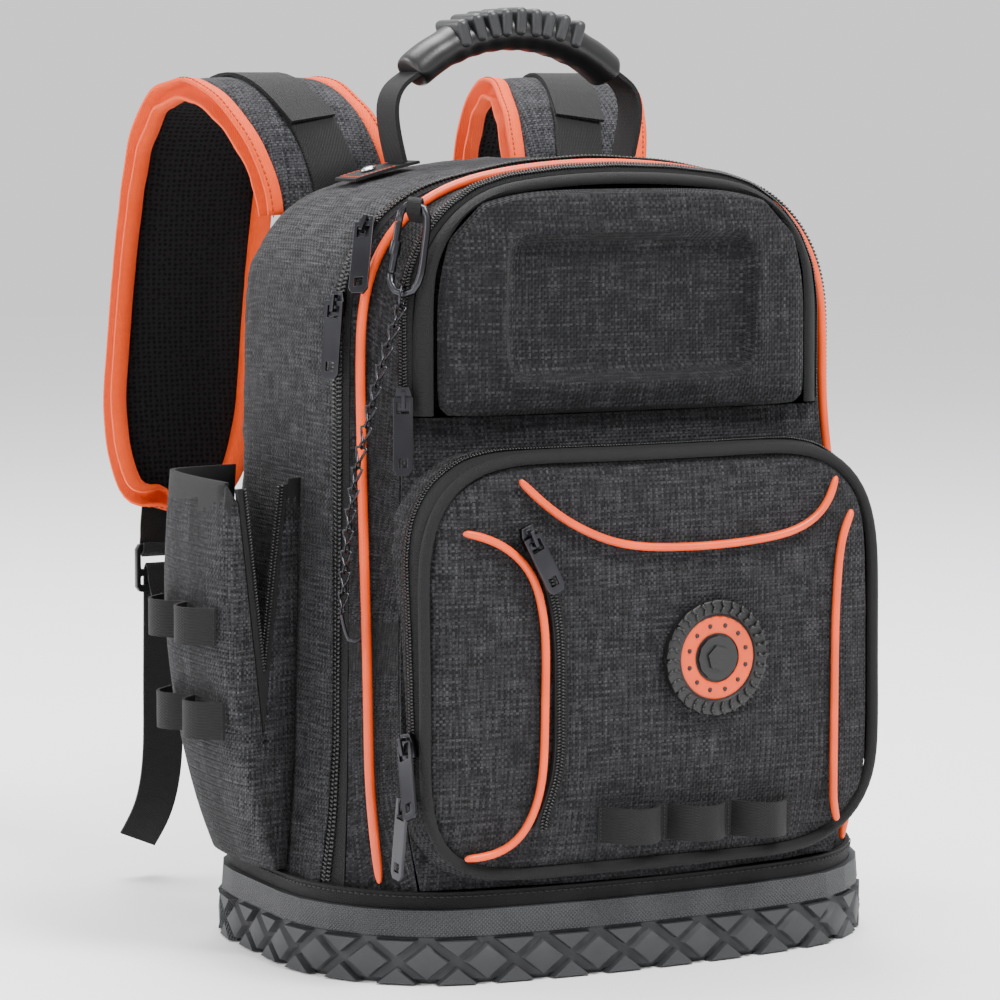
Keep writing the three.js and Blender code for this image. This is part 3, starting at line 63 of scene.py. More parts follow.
# Bands of the boot: top of its tread, and the seam in its tape
TREAD_TOP = 26.5 * MM
BOOT_SEAM = 46.8 * MM
SEAM_STEPS = 240

# Panel sunk into the cover: middle, half size and corner, then depth, lip and slopes
RECESS_AT = Vector((0, 0, 0.3545))
RECESS_HALF = (71 * MM, 34.5 * MM)
RECESS_CORNER = 13 * MM
RECESS_DEPTH = 2.6 * MM
RECESS_WALL = 4 * MM
LIP_HEIGHT = 2.4 * MM
LIP_AWAY = 7 * MM
LIP_SPREAD = 4.5 * MM

# Pocket's edge tape: swelling, and its move towards the pocket's middle
EDGE_SWELL = 1.2 * MM
EDGE_MOVE = 2.2 * MM
EDGE_MIDDLE = 0.1635
EDGE_LEAN = -0.11

# Tacks between the tool loops: places across, height of the first and drop to the next
TACKS = (-36.4, 1.7, 41.4, 79.5)
TACK_TOP = 83.5
TACK_DROP = 1.5
TACK_RUN = (-8, -3, 3, 8)

# Zips that run round the front: height of the middle, half angle, tooth and coil width
ROUND_ZIPS = {
    "main": (0.2, 133, "big_tooth", 8 * MM),
    "shell": (0.3, 89.5, "small_tooth", 5.5 * MM),
    "pocket": (0.165, 114, "small_tooth", 5.5 * MM),
}
SLASH_COIL = 4.6 * MM
NOTCH_COIL = 4 * MM

# Side pocket: height of its rim, and the notch's tip, facing and tops
RIM_HEIGHT = 0.249
NOTCH_TIP = Vector((-182, -31.5, 160)) * MM
NOTCH_FACING = Vector((-0.37, -0.93, 0))
NOTCH_TOPS = {"inner": Vector((-168.5, -26.5, 258)), "outer": Vector((-194.5, -37, 258))}

# Handle: ribs on its grip, and the seam round a patch as places across and back
HANDLE_BACK = 0.036
RIBS = 9
RIB_PITCH = 9.2 * MM
RIB_SIZE = (7.2 * MM, 33 * MM, 16 * MM)
RIB_SINK = 5.5 * MM
RIB_ROUND = 3.2 * MM
PATCH_SEAM = ((78, 48), (99, 48), (99.5, 36), (99, 24), (78, 24))

# Shoulder straps: centre and angles of the arc, and the sizes of binding and band
STRAP_CENTRE = Vector((0, 0.172, 0.34))
STRAP_FROM, STRAP_TO = -50, 155.4
STRAP_STEPS = 130
STRAP_SIDES = (-0.17, -0.03)
BINDING_WIDTH = 9 * MM
BINDING_LIFT = 0.9 * MM
BINDING_OUT = 1.8 * MM
BINDING_INNER = 1 * MM
STITCH_IN, STITCH_UP = 6.6 * MM, 1.2 * MM
BAND_WIDTH, BAND_THICK = 30 * MM, 3 * MM
BAND_STEPS = 40
SWEEP_STEP = 4 * MM

# Badge, in millimetres: ring, studs on it, and tread blocks in two leaning rows
RING_RADIUS, RING_HALF, RING_RISE = 17.6, 4.6, 0.7
RING_DEPTH = 2.9
STUDS, STUD_RADIUS, STUD_RISE = 12, 1.3, 0.5
BLOCKS, BLOCK_RISE = 30, 1.7
BLOCK_ROWS = ((29.2, 0.5), (25.8, -0.5))
BLOCK_SIZE = (3.4 * MM, 1.1 * MM, 1.5 * MM)

# Stage: each lamp's place, size and power, and the camera
LAMPS = {
    "key": ((0.5, -1.5, 2.5), 0.9, 120),
    "fill": ((-2.6, -1.2, 1.2), 1.2, 32),
    "top": ((0.1, 0.9, 2.4), 1.4, 85),
    "back": ((-2.0, 1.8, 1.3), 1.0, 40),
}
LAMPS_AIM = Vector((0, 0, 0.25))
SKY_POWER = 1.05
FLOOR_HALF = 6
EYE_AT = (-1.0008, -1.9778, 0.4665)
EYE_BACK = Vector((-0.4494, -0.8881, 0.0972))
LENS, SENSOR = 143.3, 36
SHIFT_X, SHIFT_Y = -0.0396, -0.0165


class BackpackSizes(bpy.types.PropertyGroup):
    """Sizes of the cloth's finish and of its small parts"""

    thread: bpy.props.FloatProperty(
        name="Thread", description="Pitch of the canvas weave", default=1.7 * MM, unit="LENGTH"
    )
    rib: bpy.props.FloatProperty(
        name="Webbing rib", description="Pitch of the webbing's ribs", default=1.6 * MM, unit="LENGTH"
    )
    big_tooth: bpy.props.FloatProperty(
        name="Wide tooth", description="Pitch of the main zip's coil", default=2.3 * MM, unit="LENGTH"
    )
    small_tooth: bpy.props.FloatProperty(
        name="Narrow tooth", description="Pitch of the smaller coils", default=1.7 * MM, unit="LENGTH"
    )
    stitch: bpy.props.FloatProperty(
        name="Stitch", description="Distance between stitches", default=3.6 * MM, unit="LENGTH"
    )
    wrinkle: bpy.props.FloatProperty(
        name="Wrinkle", description="Depth of the canvas's soft folds", default=1.1 * MM, unit="LENGTH"
    )


class BackpackColours(bpy.types.PropertyGroup):
    """Colours of the cloth, trim, rubber and metal"""

    canvas: bpy.props.FloatVectorProperty(
        name="Canvas", description="Dark thread", default=(0.0035, 0.0036, 0.0045), subtype="COLOR"
    )
    fleck: bpy.props.FloatVectorProperty(
        name="Fleck", description="Light thread", default=(0.044, 0.044, 0.048), subtype="COLOR"
    )
    black: bpy.props.FloatVectorProperty(
        name="Black", description="Webbing, tape and mesh", default=(0.0022, 0.0022, 0.0025), subtype="COLOR"
    )
    orange: bpy.props.FloatVectorProperty(
        name="Orange", description="Piping and binding", default=(0.85, 0.07, 0.0), subtype="COLOR"
    )
    rubber: bpy.props.FloatVectorProperty(
        name="Rubber", description="Moulded boot", default=(0.017, 0.018, 0.020), subtype="COLOR"
    )
    metal: bpy.props.FloatVectorProperty(
        name="Metal", description="Pulls, hook and chain", default=(0.045, 0.045, 0.05), subtype="COLOR"
    )


def sizes():
    return bpy.context.scene.backpack_sizes


def colours():
    return bpy.context.scene.backpack_colours


# Shader building


def times(colour, factor):
    return tuple(channel * factor for channel in colour)


def shader(name, colour, roughness, **sockets):
    material = bpy.data.materials.new(name)
    material.use_nodes = True
    tree = material.node_tree
    surface = tree.nodes["Principled BSDF"]
    surface.inputs["Base Color"].default_value = (*colour, 1)
    surface.inputs["Roughness"].default_value = roughness
    for socket, value in sockets.items():
        surface.inputs[socket.replace("_", " ")].default_value = value
    return material, tree, surface


def put(tree, value, socket):
    if isinstance(value, bpy.types.NodeSocket):
        tree.links.new(value, socket)
    else:
        socket.default_value = value


def calc(tree, operation, a, b=0.0, c=0.0, clamp=False):
    node = tree.nodes.new("ShaderNodeMath")
    node.operation = operation
    node.use_clamp = clamp
    put(tree, a, node.inputs[0])
    put(tree, b, node.inputs[1])
    put(tree, c, node.inputs[2])
    return node.outputs[0]


def scaled(tree, vector, factors):
    node = tree.nodes.new("ShaderNodeVectorMath")
    node.operation = "MULTIPLY"
    put(tree, vector, node.inputs[0])
    node.inputs[1].default_value = factors
    return node.outputs[0]


def speckle(tree, vector, scale, detail=2.0):
    node = tree.nodes.new("ShaderNodeTexNoise")
    put(tree, vector, node.inputs["Vector"])
    node.inputs["Scale"].default_value = scale
    node.inputs["Detail"].default_value = detail
    return node.outputs["Fac"]


def split(tree, vector):
    parts = tree.nodes.new("ShaderNodeSeparateXYZ")
    tree.links.new(vector, parts.inputs[0])
    return parts.outputs


def blend(tree, share, low, high):
    node = tree.nodes.new("ShaderNodeMapRange")
    put(tree, share, node.inputs["Value"])
    node.inputs["From Min"].default_value = low
    node.inputs["From Max"].default_value = high
    return node.outputs["Result"]


def tint(tree, share, first, second):
    node = tree.nodes.new("ShaderNodeMix")
    node.data_type = "RGBA"
    put(tree, share, node.inputs["Factor"])
    put(tree, first if isinstance(first, bpy.types.NodeSocket) else (*first, 1), node.inputs["A"])
    put(tree, second if isinstance(second, bpy.types.NodeSocket) else (*second, 1), node.inputs["B"])
    return node.outputs["Result"]


def pick(tree, share, first, second):
    node = tree.nodes.new("ShaderNodeMix")
    put(tree, share, node.inputs["Factor"])
    put(tree, first, node.inputs["A"])
    put(tree, second, node.inputs["B"])
    return node.outputs["Result"]


def bump(tree, surface, *layers):
    last = None
    for height, depth in layers:
        node = tree.nodes.new("ShaderNodeBump")
        node.inputs["Distance"].default_value = depth
        put(tree, height, node.inputs["Height"])
        if last:
            tree.links.new(last, node.inputs["Normal"])
        last = node.outputs["Normal"]
    tree.links.new(last, surface.inputs["Normal"])


def place(tree, kind):
    return tree.nodes.new("ShaderNodeTexCoord").outputs[kind]


def ridge(tree, length, pitch):
    return calc(tree, "ABSOLUTE", calc(tree, "SINE", calc(tree, "MULTIPLY", length, math.pi / pitch)))


# Height of a plain weave, and where the warp lies on top
def weave(tree, uv, pitch):
    parts = split(tree, uv)
    checker = tree.nodes.new("ShaderNodeTexChecker")
    tree.links.new(scaled(tree, uv, (1 / pitch, 1 / pitch, 0)), checker.inputs["Vector"])
    checker.inputs["Scale"].default_value = 1
    over = checker.outputs["Fac"]
    height = pick(tree, over, ridge(tree, parts["X"], pitch), ridge(tree, parts["Y"], pitch))
    return height, over


def cloth(name, dark, light, pitch, depth=0.45 * MM, flecks=(0.4, 0.75), sheen=0.03, rows=0.0):
    material, tree, surface = shader(name, dark, 0.92, Sheen_Weight=sheen, Specular_IOR_Level=0.25)
    uv = place(tree, "UV")
    height, over = weave(tree, uv, pitch)
    long, short = 0.09 / pitch, 0.9 / pitch
    warp = speckle(tree, scaled(tree, uv, (short, long, 0)), 1.0, 1.0)
    weft = speckle(tree, scaled(tree, uv, (long, short, 0)), 1.0, 1.0)
    threads = blend(tree, pick(tree, over, warp, weft), *flecks)
    # Painted shade: the weave's low places darker and its raised threads lighter, on top of the threads' own
    # colours
    shade = calc(tree, "MULTIPLY", threads, calc(tree, "MULTIPLY_ADD", height, 0.6, 0.4))
    patch = blend(tree, speckle(tree, place(tree, "Object"), 22.0, 3.0), 0.25, 0.75)
    cloudy = calc(tree, "MULTIPLY", shade, calc(tree, "MULTIPLY_ADD", patch, 0.45, 0.75), clamp=True)
    tree.links.new(tint(tree, cloudy, dark, light), surface.inputs["Base Color"])
    folds = speckle(tree, place(tree, "Object"), 14.0, 2.0)
    layers = [(folds, 3.2 * MM), (height, depth)]
    if rows:
        height_up = split(tree, place(tree, "Object"))["Z"]
        layers.append((ridge(tree, height_up, rows), 0.35 * MM))
    bump(tree, surface, *layers)
    return material


def tape(name, colour, pitch, lift=1.8, rough=0.72):
    material, tree, surface = shader(name, colour, rough, Sheen_Weight=0.02, Specular_IOR_Level=0.3)
    parts = split(tree, place(tree, "Object"))
    x, y, z = (parts[axis] for axis in "XYZ")
    across = calc(tree, "MULTIPLY", calc(tree, "ADD", x, y), 0.9)
    rising = calc(tree, "ADD", z, across)
    falling = calc(tree, "SUBTRACT", z, across)
    twill = calc(tree, "MULTIPLY", ridge(tree, rising, pitch), ridge(tree, falling, pitch))
    lighter = tuple(min(1, channel * lift) for channel in colour)
    worn = blend(tree, speckle(tree, place(tree, "Object"), 240.0, 2.0), 0.35, 0.75)
    # Painted highlight on the twill's raised ribs, darker in the hollows between them, dimmed in random worn
    # patches
    shade = calc(tree, "MULTIPLY", twill, worn)
    tree.links.new(tint(tree, shade, colour, lighter), surface.inputs["Base Color"])
    bump(tree, surface, (twill, 0.3 * MM))
    return material


# Moulded or painted surface: fine grain, and a shine that varies by a quarter
def solid(name, colour, roughness, grain=900.0, depth=0.05 * MM, **sockets):
    material, tree, surface = shader(name, colour, roughness, **sockets)
    fine = speckle(tree, place(tree, "Object"), grain, 2.0)
    broad = speckle(tree, place(tree, "Object"), 35.0, 3.0)
    shift = calc(tree, "MULTIPLY_ADD", broad, 0.5 * roughness, 0.75 * roughness)
    tree.links.new(shift, surface.inputs["Roughness"])
    deeper = times(colour, 0.72)
    patches = blend(tree, broad, 0.3, 0.7)
    tree.links.new(tint(tree, patches, deeper, colour), surface.inputs["Base Color"])
    bump(tree, surface, (fine, depth))
    return material


# Air mesh: rows of small round holes, painted dark inside as shade
def air_mesh(name, colour, pitch):
    material, tree, surface = shader(name, colour, 0.9, Specular_IOR_Level=0.2)
    uv = scaled(tree, place(tree, "UV"), (1 / pitch, 1 / pitch, 0))
    cells = tree.nodes.new("ShaderNodeTexVoronoi")
    tree.links.new(uv, cells.inputs["Vector"])
    cells.inputs["Scale"].default_value = 1
    cells.inputs["Randomness"].default_value = 0.25
    hole = blend(tree, cells.outputs["Distance"], 0.22, 0.42)
    lighter = times(colour, 3.4)
    darker = times(colour, 0.3)
    # Painted shade: the holes much darker than the strands round them
    tree.links.new(tint(tree, hole, darker, lighter), surface.inputs["Base Color"])
    bump(tree, surface, (hole, 0.9 * MM))
    return material


# Boot rubber: cross-hatched above the tread, with painted light on the hatching's raised tops, painted shade
# in its grooves, and random dusty patches
def boot_rubber(name, colour, band):
    material, tree, surface = shader(name, colour, 0.62)
    parts = split(tree, place(tree, "UV"))
    u, v = parts["X"], parts["Y"]
    hatch = calc(
        tree,
        "MULTIPLY",
        ridge(tree, calc(tree, "ADD", u, v), 2.2 * MM),
        ridge(tree, calc(tree, "SUBTRACT", u, v), 2.2 * MM),
    )
    inside = calc(tree, "GREATER_THAN", v, band)
    knurl = calc(tree, "MULTIPLY", hatch, inside)
    dust = blend(tree, speckle(tree, place(tree, "Object"), 70.0, 4.0), 0.35, 0.75)
    lighter = times(colour, 1.9)
    # Painted light and shade: the hatching's raised tops lighter and its grooves darker, plus random dust
    # patches
    shade = calc(tree, "MULTIPLY_ADD", knurl, 0.55, calc(tree, "MULTIPLY", dust, 0.3), clamp=True)
    tree.links.new(tint(tree, shade, colour, lighter), surface.inputs["Base Color"])
    fine = speckle(tree, place(tree, "Object"), 1300.0, 2.0)
    bump(tree, surface, (fine, 0.12 * MM), (knurl, 0.6 * MM))
    return material


FINISHES = {}


def finish(name):
    if name not in FINISHES:
        colour, size = colours(), sizes()
        canvas, fleck, black = (tuple(c) for c in (colour.canvas, colour.fleck, colour.black))
        orange, rubber, metal = (tuple(c) for c in (colour.orange, colour.rubber, colour.metal))
        grey = times(fleck, 1.5)
        ribs, steel = (0.02, 0.021, 0.023), (0.55, 0.56, 0.58)
        makers = {
            "canvas": lambda: cloth(name, canvas, fleck, size.thread),
            "side_canvas": lambda: cloth(name, canvas, grey, size.thread, rows=2.6 * MM),
            "cover_cloth": lambda: cloth(name, canvas, fleck, 1.9 * MM, 0.5 * MM, (0.46, 0.85)),
            "heather": lambda: cloth(name, times(canvas, 1.8), grey, size.thread, flecks=(0.35, 0.7)),
            "webbing": lambda: tape(name, black, size.rib),
            "binding": lambda: tape(name, times(black, 1.2), 0.9 * MM, 1.6),
            "orange_binding": lambda: tape(name, orange, 1.1 * MM, 1.25, 0.62),
            "piping": lambda: solid(name, orange, 0.42, 500.0, 0.06 * MM),
            "coil": lambda: solid(name, times(black, 1.6), 0.32, 700.0, 0.02 * MM),
            "thread": lambda: solid(name, times(black, 4), 0.7),
            "orange_thread": lambda: solid(name, times(orange, 0.5), 0.6),
            "air_mesh": lambda: air_mesh(name, black, 3.4 * MM),
            "boot": lambda: boot_rubber(name, rubber, TREAD_TOP),
            "grip": lambda: solid(name, times(black, 1.3), 0.38, 1200.0, 0.06 * MM),
            "grip_ribs": lambda: solid(name, ribs, 0.45, 900.0, 0.1 * MM),
            "badge_rubber": lambda: solid(name, times(black, 1.5), 0.5, 1100.0, 0.1 * MM),
            "badge_orange": lambda: solid(name, times(orange, 0.85), 0.5, 1100.0, 0.06 * MM),
            "metal": lambda: solid(name, metal, 0.3, 800.0, 0.03 * MM, Metallic=1.0),
            "steel": lambda: solid(name, steel, 0.22, 800.0, 0.02 * MM, Metallic=1.0),
            "plastic": lambda: solid(name, times(black, 1.4), 0.36),
        }
        FINISHES[name] = makers[name]()
    return FINISHES[name]


# Meshes


def merged(node):
    bm = bmesh.new()
    bm.from_mesh(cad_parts[node].data)
    bmesh.ops.remove_doubles(bm, verts=bm.verts, dist=0.02 * MM)
    bmesh.ops.dissolve_degenerate(bm, dist=0.005 * MM, edges=bm.edges)
    bmesh.ops.join_triangles(
        bm,
        faces=bm.faces,
        angle_face_threshold=math.radians(35),
        angle_shape_threshold=math.radians(75),
    )
    return bm


def smoothed(bm, levels, crease_angle, hold=1.0):
    crease = bm.edges.layers.float.new("crease_edge")
    for edge in bm.edges:
        if len(edge.link_faces) == 2 and edge.calc_face_angle() > math.radians(crease_angle):
            edge[crease] = hold
    mesh = bpy.data.meshes.new("soft")
    bm.to_mesh(mesh)
    bm.free()
    obj = bpy.data.objects.new("soft", mesh)
    bpy.context.collection.objects.link(obj)
    modifier = obj.modifiers.new("smooth", "SUBSURF")
    modifier.levels = modifier.render_levels = levels
    baked = bpy.data.meshes.new_from_object(obj.evaluated_get(bpy.context.evaluated_depsgraph_get()))
    bpy.data.objects.remove(obj)
    out = bmesh.new()
    out.from_mesh(baked)
    bpy.data.meshes.remove(baked)
    return out


# UVs in metres: along the outline round an axis, or flat on faces that look along it
def wrap_uv(bm, axis, centre, flat=0.72):
    lanes = {"Y": (0, 2, 1), "Z": (0, 1, 2), "X": (1, 2, 0)}[axis]
    a, b, c = lanes
    turn = -1 if axis == "Z" else 1
    bins = 180
    reach = [0.0] * bins

    def angle(p):
        return math.atan2(p[a] - centre[0], turn * (p[b] - centre[1]))

    for vert in bm.verts:
        k = int((angle(vert.co) / math.tau + 0.5) * bins) % bins
        reach[k] = max(reach[k], math.hypot(vert.co[a] - centre[0], vert.co[b] - centre[1]))
    known = [k for k in range(bins) if reach[k] > 0]
    for k in range(bins):
        if reach[k] == 0:
            reach[k] = reach[min(known, key=lambda j: min(abs(j - k), bins - abs(j - k)))]
    step = math.tau / bins
    run = [0.0]
    for k in range(bins):
        nearby = reach[(k + 1) % bins]
        run.append(run[k] + math.hypot((reach[k] + nearby) / 2 * step, nearby - reach[k]))

    def length(p):
        t = (angle(p) / math.tau + 0.5) * bins
        k = min(bins - 1, int(t))
        return run[k] + (run[k + 1] - run[k]) * (t - k)

    layer = bm.loops.layers.uv.verify()
    for face in bm.faces:
        if abs(face.normal[c]) > flat:
            for loop in face.loops:
                loop[layer].uv = (loop.vert.co[a], loop.vert.co[b])
        else:
            along = [length(loop.vert.co) for loop in face.loops]
            high = max(along)
            for loop, u in zip(face.loops, along):
                loop[layer].uv = (u + run[-1] if high - u > run[-1] / 2 else u, loop.vert.co[c])


def box_uv(bm):
    layer = bm.loops.layers.uv.verify()
    for face in bm.faces:
        size = [abs(n) for n in face.normal]
        k = size.index(max(size))
        a, b = [(1, 2), (0, 2), (0, 1)][k]
        for loop in face.loops:
            loop[layer].uv = (loop.vert.co[a], loop.vert.co[b])


def crumple(bm, amount, scale=55.0):
    bm.normal_update()
    moves = []
    for vert in bm.verts:
        wave = noise.noise(vert.co * scale) + 0.5 * noise.noise(vert.co * scale * 2.3)
        moves.append(vert.normal * (amount * (wave - 0.9)))
    for vert, move in zip(bm.verts, moves):
        vert.co += move


def swell(bm, amount):
    bm.normal_update()
    moves = [vert.normal * amount for vert in bm.verts]
    for vert, move in zip(bm.verts, moves):
        vert.co += move


def piece(name, bm, look, nodes=(), body="bag"):
    mesh = bpy.data.meshes.new(name)
    bm.to_mesh(mesh)
    bm.free()
    mesh.shade_smooth()
    obj = bpy.data.objects.new(name, mesh)
    bpy.context.collection.objects.link(obj)
    for each in look if isinstance(look, (list, tuple)) else [look]:
        mesh.materials.append(finish(each))
    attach(obj, body)
    if nodes:
        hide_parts(*nodes)
    return obj


def sharp(bm, degrees):
    for edge in bm.edges:
        edge.smooth = len(edge.link_faces) != 2 or edge.calc_face_angle() < math.radians(degrees)


# A soft copy of a solid: rounded between its hems, with its weave laid on
def soft(node, look, uv=None, levels=2, crease=60, puff=0.0, folds=0.0):
    bm = smoothed(merged(node), levels, crease)
    if puff:
        swell(bm, puff)
    if folds:
        crumple(bm, folds)
    bm.normal_update()
    if uv:
        wrap_uv(bm, *uv)
    else:
        box_uv(bm)
    sharp(bm, 50)
    return piece(f"{node}_cloth", bm, look, [node])


def dress(node, look, bevel=0.0, segments=2):
    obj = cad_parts[node]
    for slot in obj.material_slots:
        slot.material = finish(look)
    weld = obj.modifiers.new("weld", "WELD")
    weld.merge_threshold = 0.01 * MM
    if bevel:
        rounding = obj.modifiers.new("rounding", "BEVEL")
        rounding.width = bevel
        rounding.segments = segments
        rounding.limit_method = "ANGLE"
        rounding.angle_limit = math.radians(35)
    obj.modifiers.new("normals", "WEIGHTED_NORMAL")


def tree_of(obj):
    bm = bmesh.new()
    bm.from_mesh(obj.data)
    tree = BVHTree.FromBMesh(bm)
    bm.free()
    return tree


def frames_along(points, normals, step):
    lengths = [0.0]
    for a, b in zip(points, points[1:]):
        lengths.append(lengths[-1] + (b - a).length)
    count = max(2, int(lengths[-1] / step))
    out = []
    k = 0
    for i in range(count + 1):
        s = lengths[-1] * i / count
        while k < len(lengths) - 2 and lengths[k + 1] < s:
            k += 1
        t = (s - lengths[k]) / max(1e-9, lengths[k + 1] - lengths[k])
        tangent = (points[k + 1] - points[k]).normalized()
        normal = normals[k].lerp(normals[k + 1], t)
        normal = (normal - tangent * normal.dot(tangent)).normalized()
        out.append((points[k].lerp(points[k + 1], t), tangent, normal))
    return out


def basis(origin, x, y, z):
    matrix = Matrix((x, y, z)).transposed().to_4x4()
    matrix.translation = origin
    return matrix


def bar(bm, matrix, radius, length):
    bmesh.ops.create_cone(
        bm,
        cap_ends=True,
        segments=6,
        radius1=radius,
        radius2=radius,
        depth=length,
        matrix=matrix,
    )


# Coil of a zip: a row of short bars on each side of its line
def coil(name, points, normals, pitch, width):
    bm = bmesh.new()
    for p, tangent, normal in frames_along(points, normals, pitch):
        side = tangent.cross(normal)
        for sign in (-1, 1):
            slant = (side + tangent * 0.16 * sign).normalized()
            shift = side * sign * width * 0.26 + tangent * pitch * 0.25 * sign
            centre = p + normal * (pitch * 0.16) + shift
            bar(bm, basis(centre, tangent, normal, slant), pitch * 0.36, width * 0.5)
    bm.normal_update()
    return piece(name, bm, "coil")


# Stitches: short rounded bars along a line
def stitches(name, lines, look="thread", pitch=None, radius=0.35 * MM):
    pitch = pitch or sizes().stitch
    bm = bmesh.new()
    for points, normals in lines:
        for p, tangent, normal in frames_along(points, normals, pitch):
            side = tangent.cross(normal)
            bar(bm, basis(p + normal * radius * 0.4, side, normal, tangent), radius, pitch * 0.66)
    bm.normal_update()
    return piece(name, bm, look)


def eased(points, rounds=6):
    for _ in range(rounds):
        inner = [(a + 2 * b + c) / 4 for a, b, c in zip(points, points[1:], points[2:])]
        points = [points[0], *inner, points[-1]]
    return points


def subdivided(points, parts):
    out = []
    for a, b in zip(points, points[1:]):
        out += [a.lerp(b, k / parts) for k in range(parts)]
    return [*out, points[-1]]


def averaged(vectors):
    return sum(vectors, Vector()).normalized()


# Middle line and normals of a band that runs round the Y axis, from rays that point at the axis
def band_line(node, centre, half_angle, steps=220, rays=40):
    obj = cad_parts[node]
    tree = tree_of(obj)
    ys = [v.co.y for v in obj.data.vertices]
    low, high = min(ys), max(ys)
    points, normals = [], []
    for i in range(steps + 1):
        a = math.radians(half_angle * (2 * i / steps - 1))
        way = Vector((math.sin(a), 0, math.cos(a)))
        origin = Vector((0, 0, centre)) + way * RAY_REACH
        hits = []
        for k in range(rays + 1):
            start = origin + Vector((0, low + (high - low) * k / rays, 0))
            hit = tree.ray_cast(start, -way, RAY_REACH - 0.02)
            if hit[0]:
                hits.append(hit)
        reach = max(((hit[0] - origin).length for hit in hits), default=0)
        near = min(((hit[0] - origin).length for hit in hits), default=0)
        limit = near + 0.35 * (reach - near) + 1.5 * MM
        hits = [hit for hit in hits if (hit[0] - origin).length < limit]
        if hits:
            points.append(sum((hit[0] for hit in hits), Vector()) / len(hits))
            normals.append(averaged([hit[1] for hit in hits]))
    return eased(points), eased(normals)


# Middle line and normals of an upright strip on the front
def front_line(node, steps=60, rays=60):
    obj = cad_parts[node]
    tree = tree_of(obj)
    xs = [v.co.x for v in obj.data.vertices]
    zs = [v.co.z for v in obj.data.vertices]
    points = []
    for i in range(steps + 1):
        z = max(zs) - 1 * MM - (max(zs) - min(zs) - 2 * MM) * i / steps
        hits = []
        for k in range(rays + 1):
            x = min(xs) + (max(xs) - min(xs)) * k / rays
            hit = tree.ray_cast(Vector((x, -RAY_FROM, z)), Vector((0, 1, 0)), RAY_REACH)
            if hit[0]:
                hits.append(hit[0])
        if hits:
            points.append(sum(hits, Vector()) / len(hits))
    return eased(points), [Vector((0, -1, 0))] * len(points)


# Solid laid along a line; profile gives its closed section as offsets to the side and outwards
def sweep(route, profile):
    bm = bmesh.new()
    steps = len(route) - 1
    around = len(profile(0))
    bmesh.ops.create_grid(bm, x_segments=steps, y_segments=around, size=0.5)
    layer = bm.loops.layers.uv.verify()
    run = [0.0]
    for (a, _, _), (b, _, _) in zip(route, route[1:]):
        run.append(run[-1] + (b - a).length)
    ring = [*profile(0), profile(0)[0]]
    girth = [0.0]
    for a, b in zip(ring, ring[1:]):
        girth.append(girth[-1] + math.dist(a, b))
    index = {}
    for vert in bm.verts:
        index[vert] = (round((vert.co.x + 0.5) * steps), round((vert.co.y + 0.5) * around))
    for face in bm.faces:
        for loop in face.loops:
            i, j = index[loop.vert]
            loop[layer].uv = (run[i], girth[j])
    for vert, (i, j) in index.items():
        p, tangent, normal = route[i]
        side, out = profile(i / steps)[j % around]
        vert.co = p + tangent.cross(normal) * side + normal * out
    bmesh.ops.remove_doubles(bm, verts=bm.verts, dist=0.001 * MM)
    bmesh.ops.holes_fill(bm, edges=bm.edges, sides=0)
    bmesh.ops.recalc_face_normals(bm, faces=bm.faces)
    return bm


# Section of a flat band with round edges
def flat_section(width, thick):
    w, h = width / 2, thick / 2
    r = min(h, width * 0.3)
    quarter = []
    for a in (0, math.pi / 4, math.pi / 2):
        quarter.append((w - r * (1 - math.cos(a)), h - r * (1 - math.sin(a))))
    top = quarter + [(-x, y) for x, y in reversed(quarter)]
    return top + [(x, -y) for x, y in reversed(top)]


# The left side's solid turned into the right side's
def mirrored(bm):
    bmesh.ops.scale(bm, vec=(-1, 1, 1), verts=bm.verts)
    bmesh.ops.reverse_faces(bm, faces=bm.faces)


def rounded(bm, edges, offset, segments):
    bmesh.ops.bevel(
        bm,
        geom=edges,
        offset=offset,
        segments=segments,
        profile=0.5,
        affect="EDGES",
        clamp_overlap=True,
        material=-1,
    )


def cast(tree, start, way, reach):
    hit = tree.ray_cast(start, way, reach)
    return hit[0], hit[1]


# Operators


class Build:
    bl_options = {"REGISTER"}


class BACKPACK_OT_boot(Build, bpy.types.Operator):
    """Moulded rubber boot and the tape round its edge"""

    bl_idname = "backpack.boot"
    bl_label = "Boot"

    def execute(self, context):
        bm = merged("rubber_base")
        paired = [edge for edge in bm.edges if len(edge.link_faces) == 2]
        edges = [edge for edge in paired if edge.calc_face_angle() > math.radians(30)]
        rounded(bm, edges, 0.5 * MM, 1)
        bm.normal_update()
        wrap_uv(bm, "Z", (0, 0))
        sharp(bm, 40)
        piece("boot", bm, "boot", ["rubber_base"])
        soft("base_binding", "binding", ("Z", (0, 0)))
        tree = tree_of(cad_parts["base_binding"])
        seam = []
        for k in range(SEAM_STEPS + 1):
            a = math.tau * k / SEAM_STEPS
            way = Vector((math.sin(a), math.cos(a), 0))
            seam.append(cast(tree, way * RAY_FROM + Vector((0, 0, BOOT_SEAM)), -way, RAY_FROM))
        stitches("boot_stitches", [tuple(zip(*seam))], radius=0.4 * MM)
        return {"FINISHED"}


class BACKPACK_OT_body(Build, bpy.types.Operator):
    """Canvas body, back panel, front panel and the orange edge piping"""

    bl_idname = "backpack.body"
    bl_label = "Body"

    def execute(self, context):
        wrinkle = sizes().wrinkle
        arch = ("Y", ARCH_CENTRE)
        soft("rear_body", "side_canvas", arch, levels=3, crease=55, folds=wrinkle)
        soft("front_body", "canvas", arch, crease=55, folds=wrinkle * 0.4)
        front = ("Y", PANEL_CENTRE)
        soft("front_panel", "canvas", front, levels=3, crease=55, folds=wrinkle * 0.4)
        soft("back_pad", "air_mesh", ("Y", (0, 0.22)), levels=3, crease=70)
        soft("edge_piping", "piping", crease=180, puff=0.6 * MM)
        return {"FINISHED"}


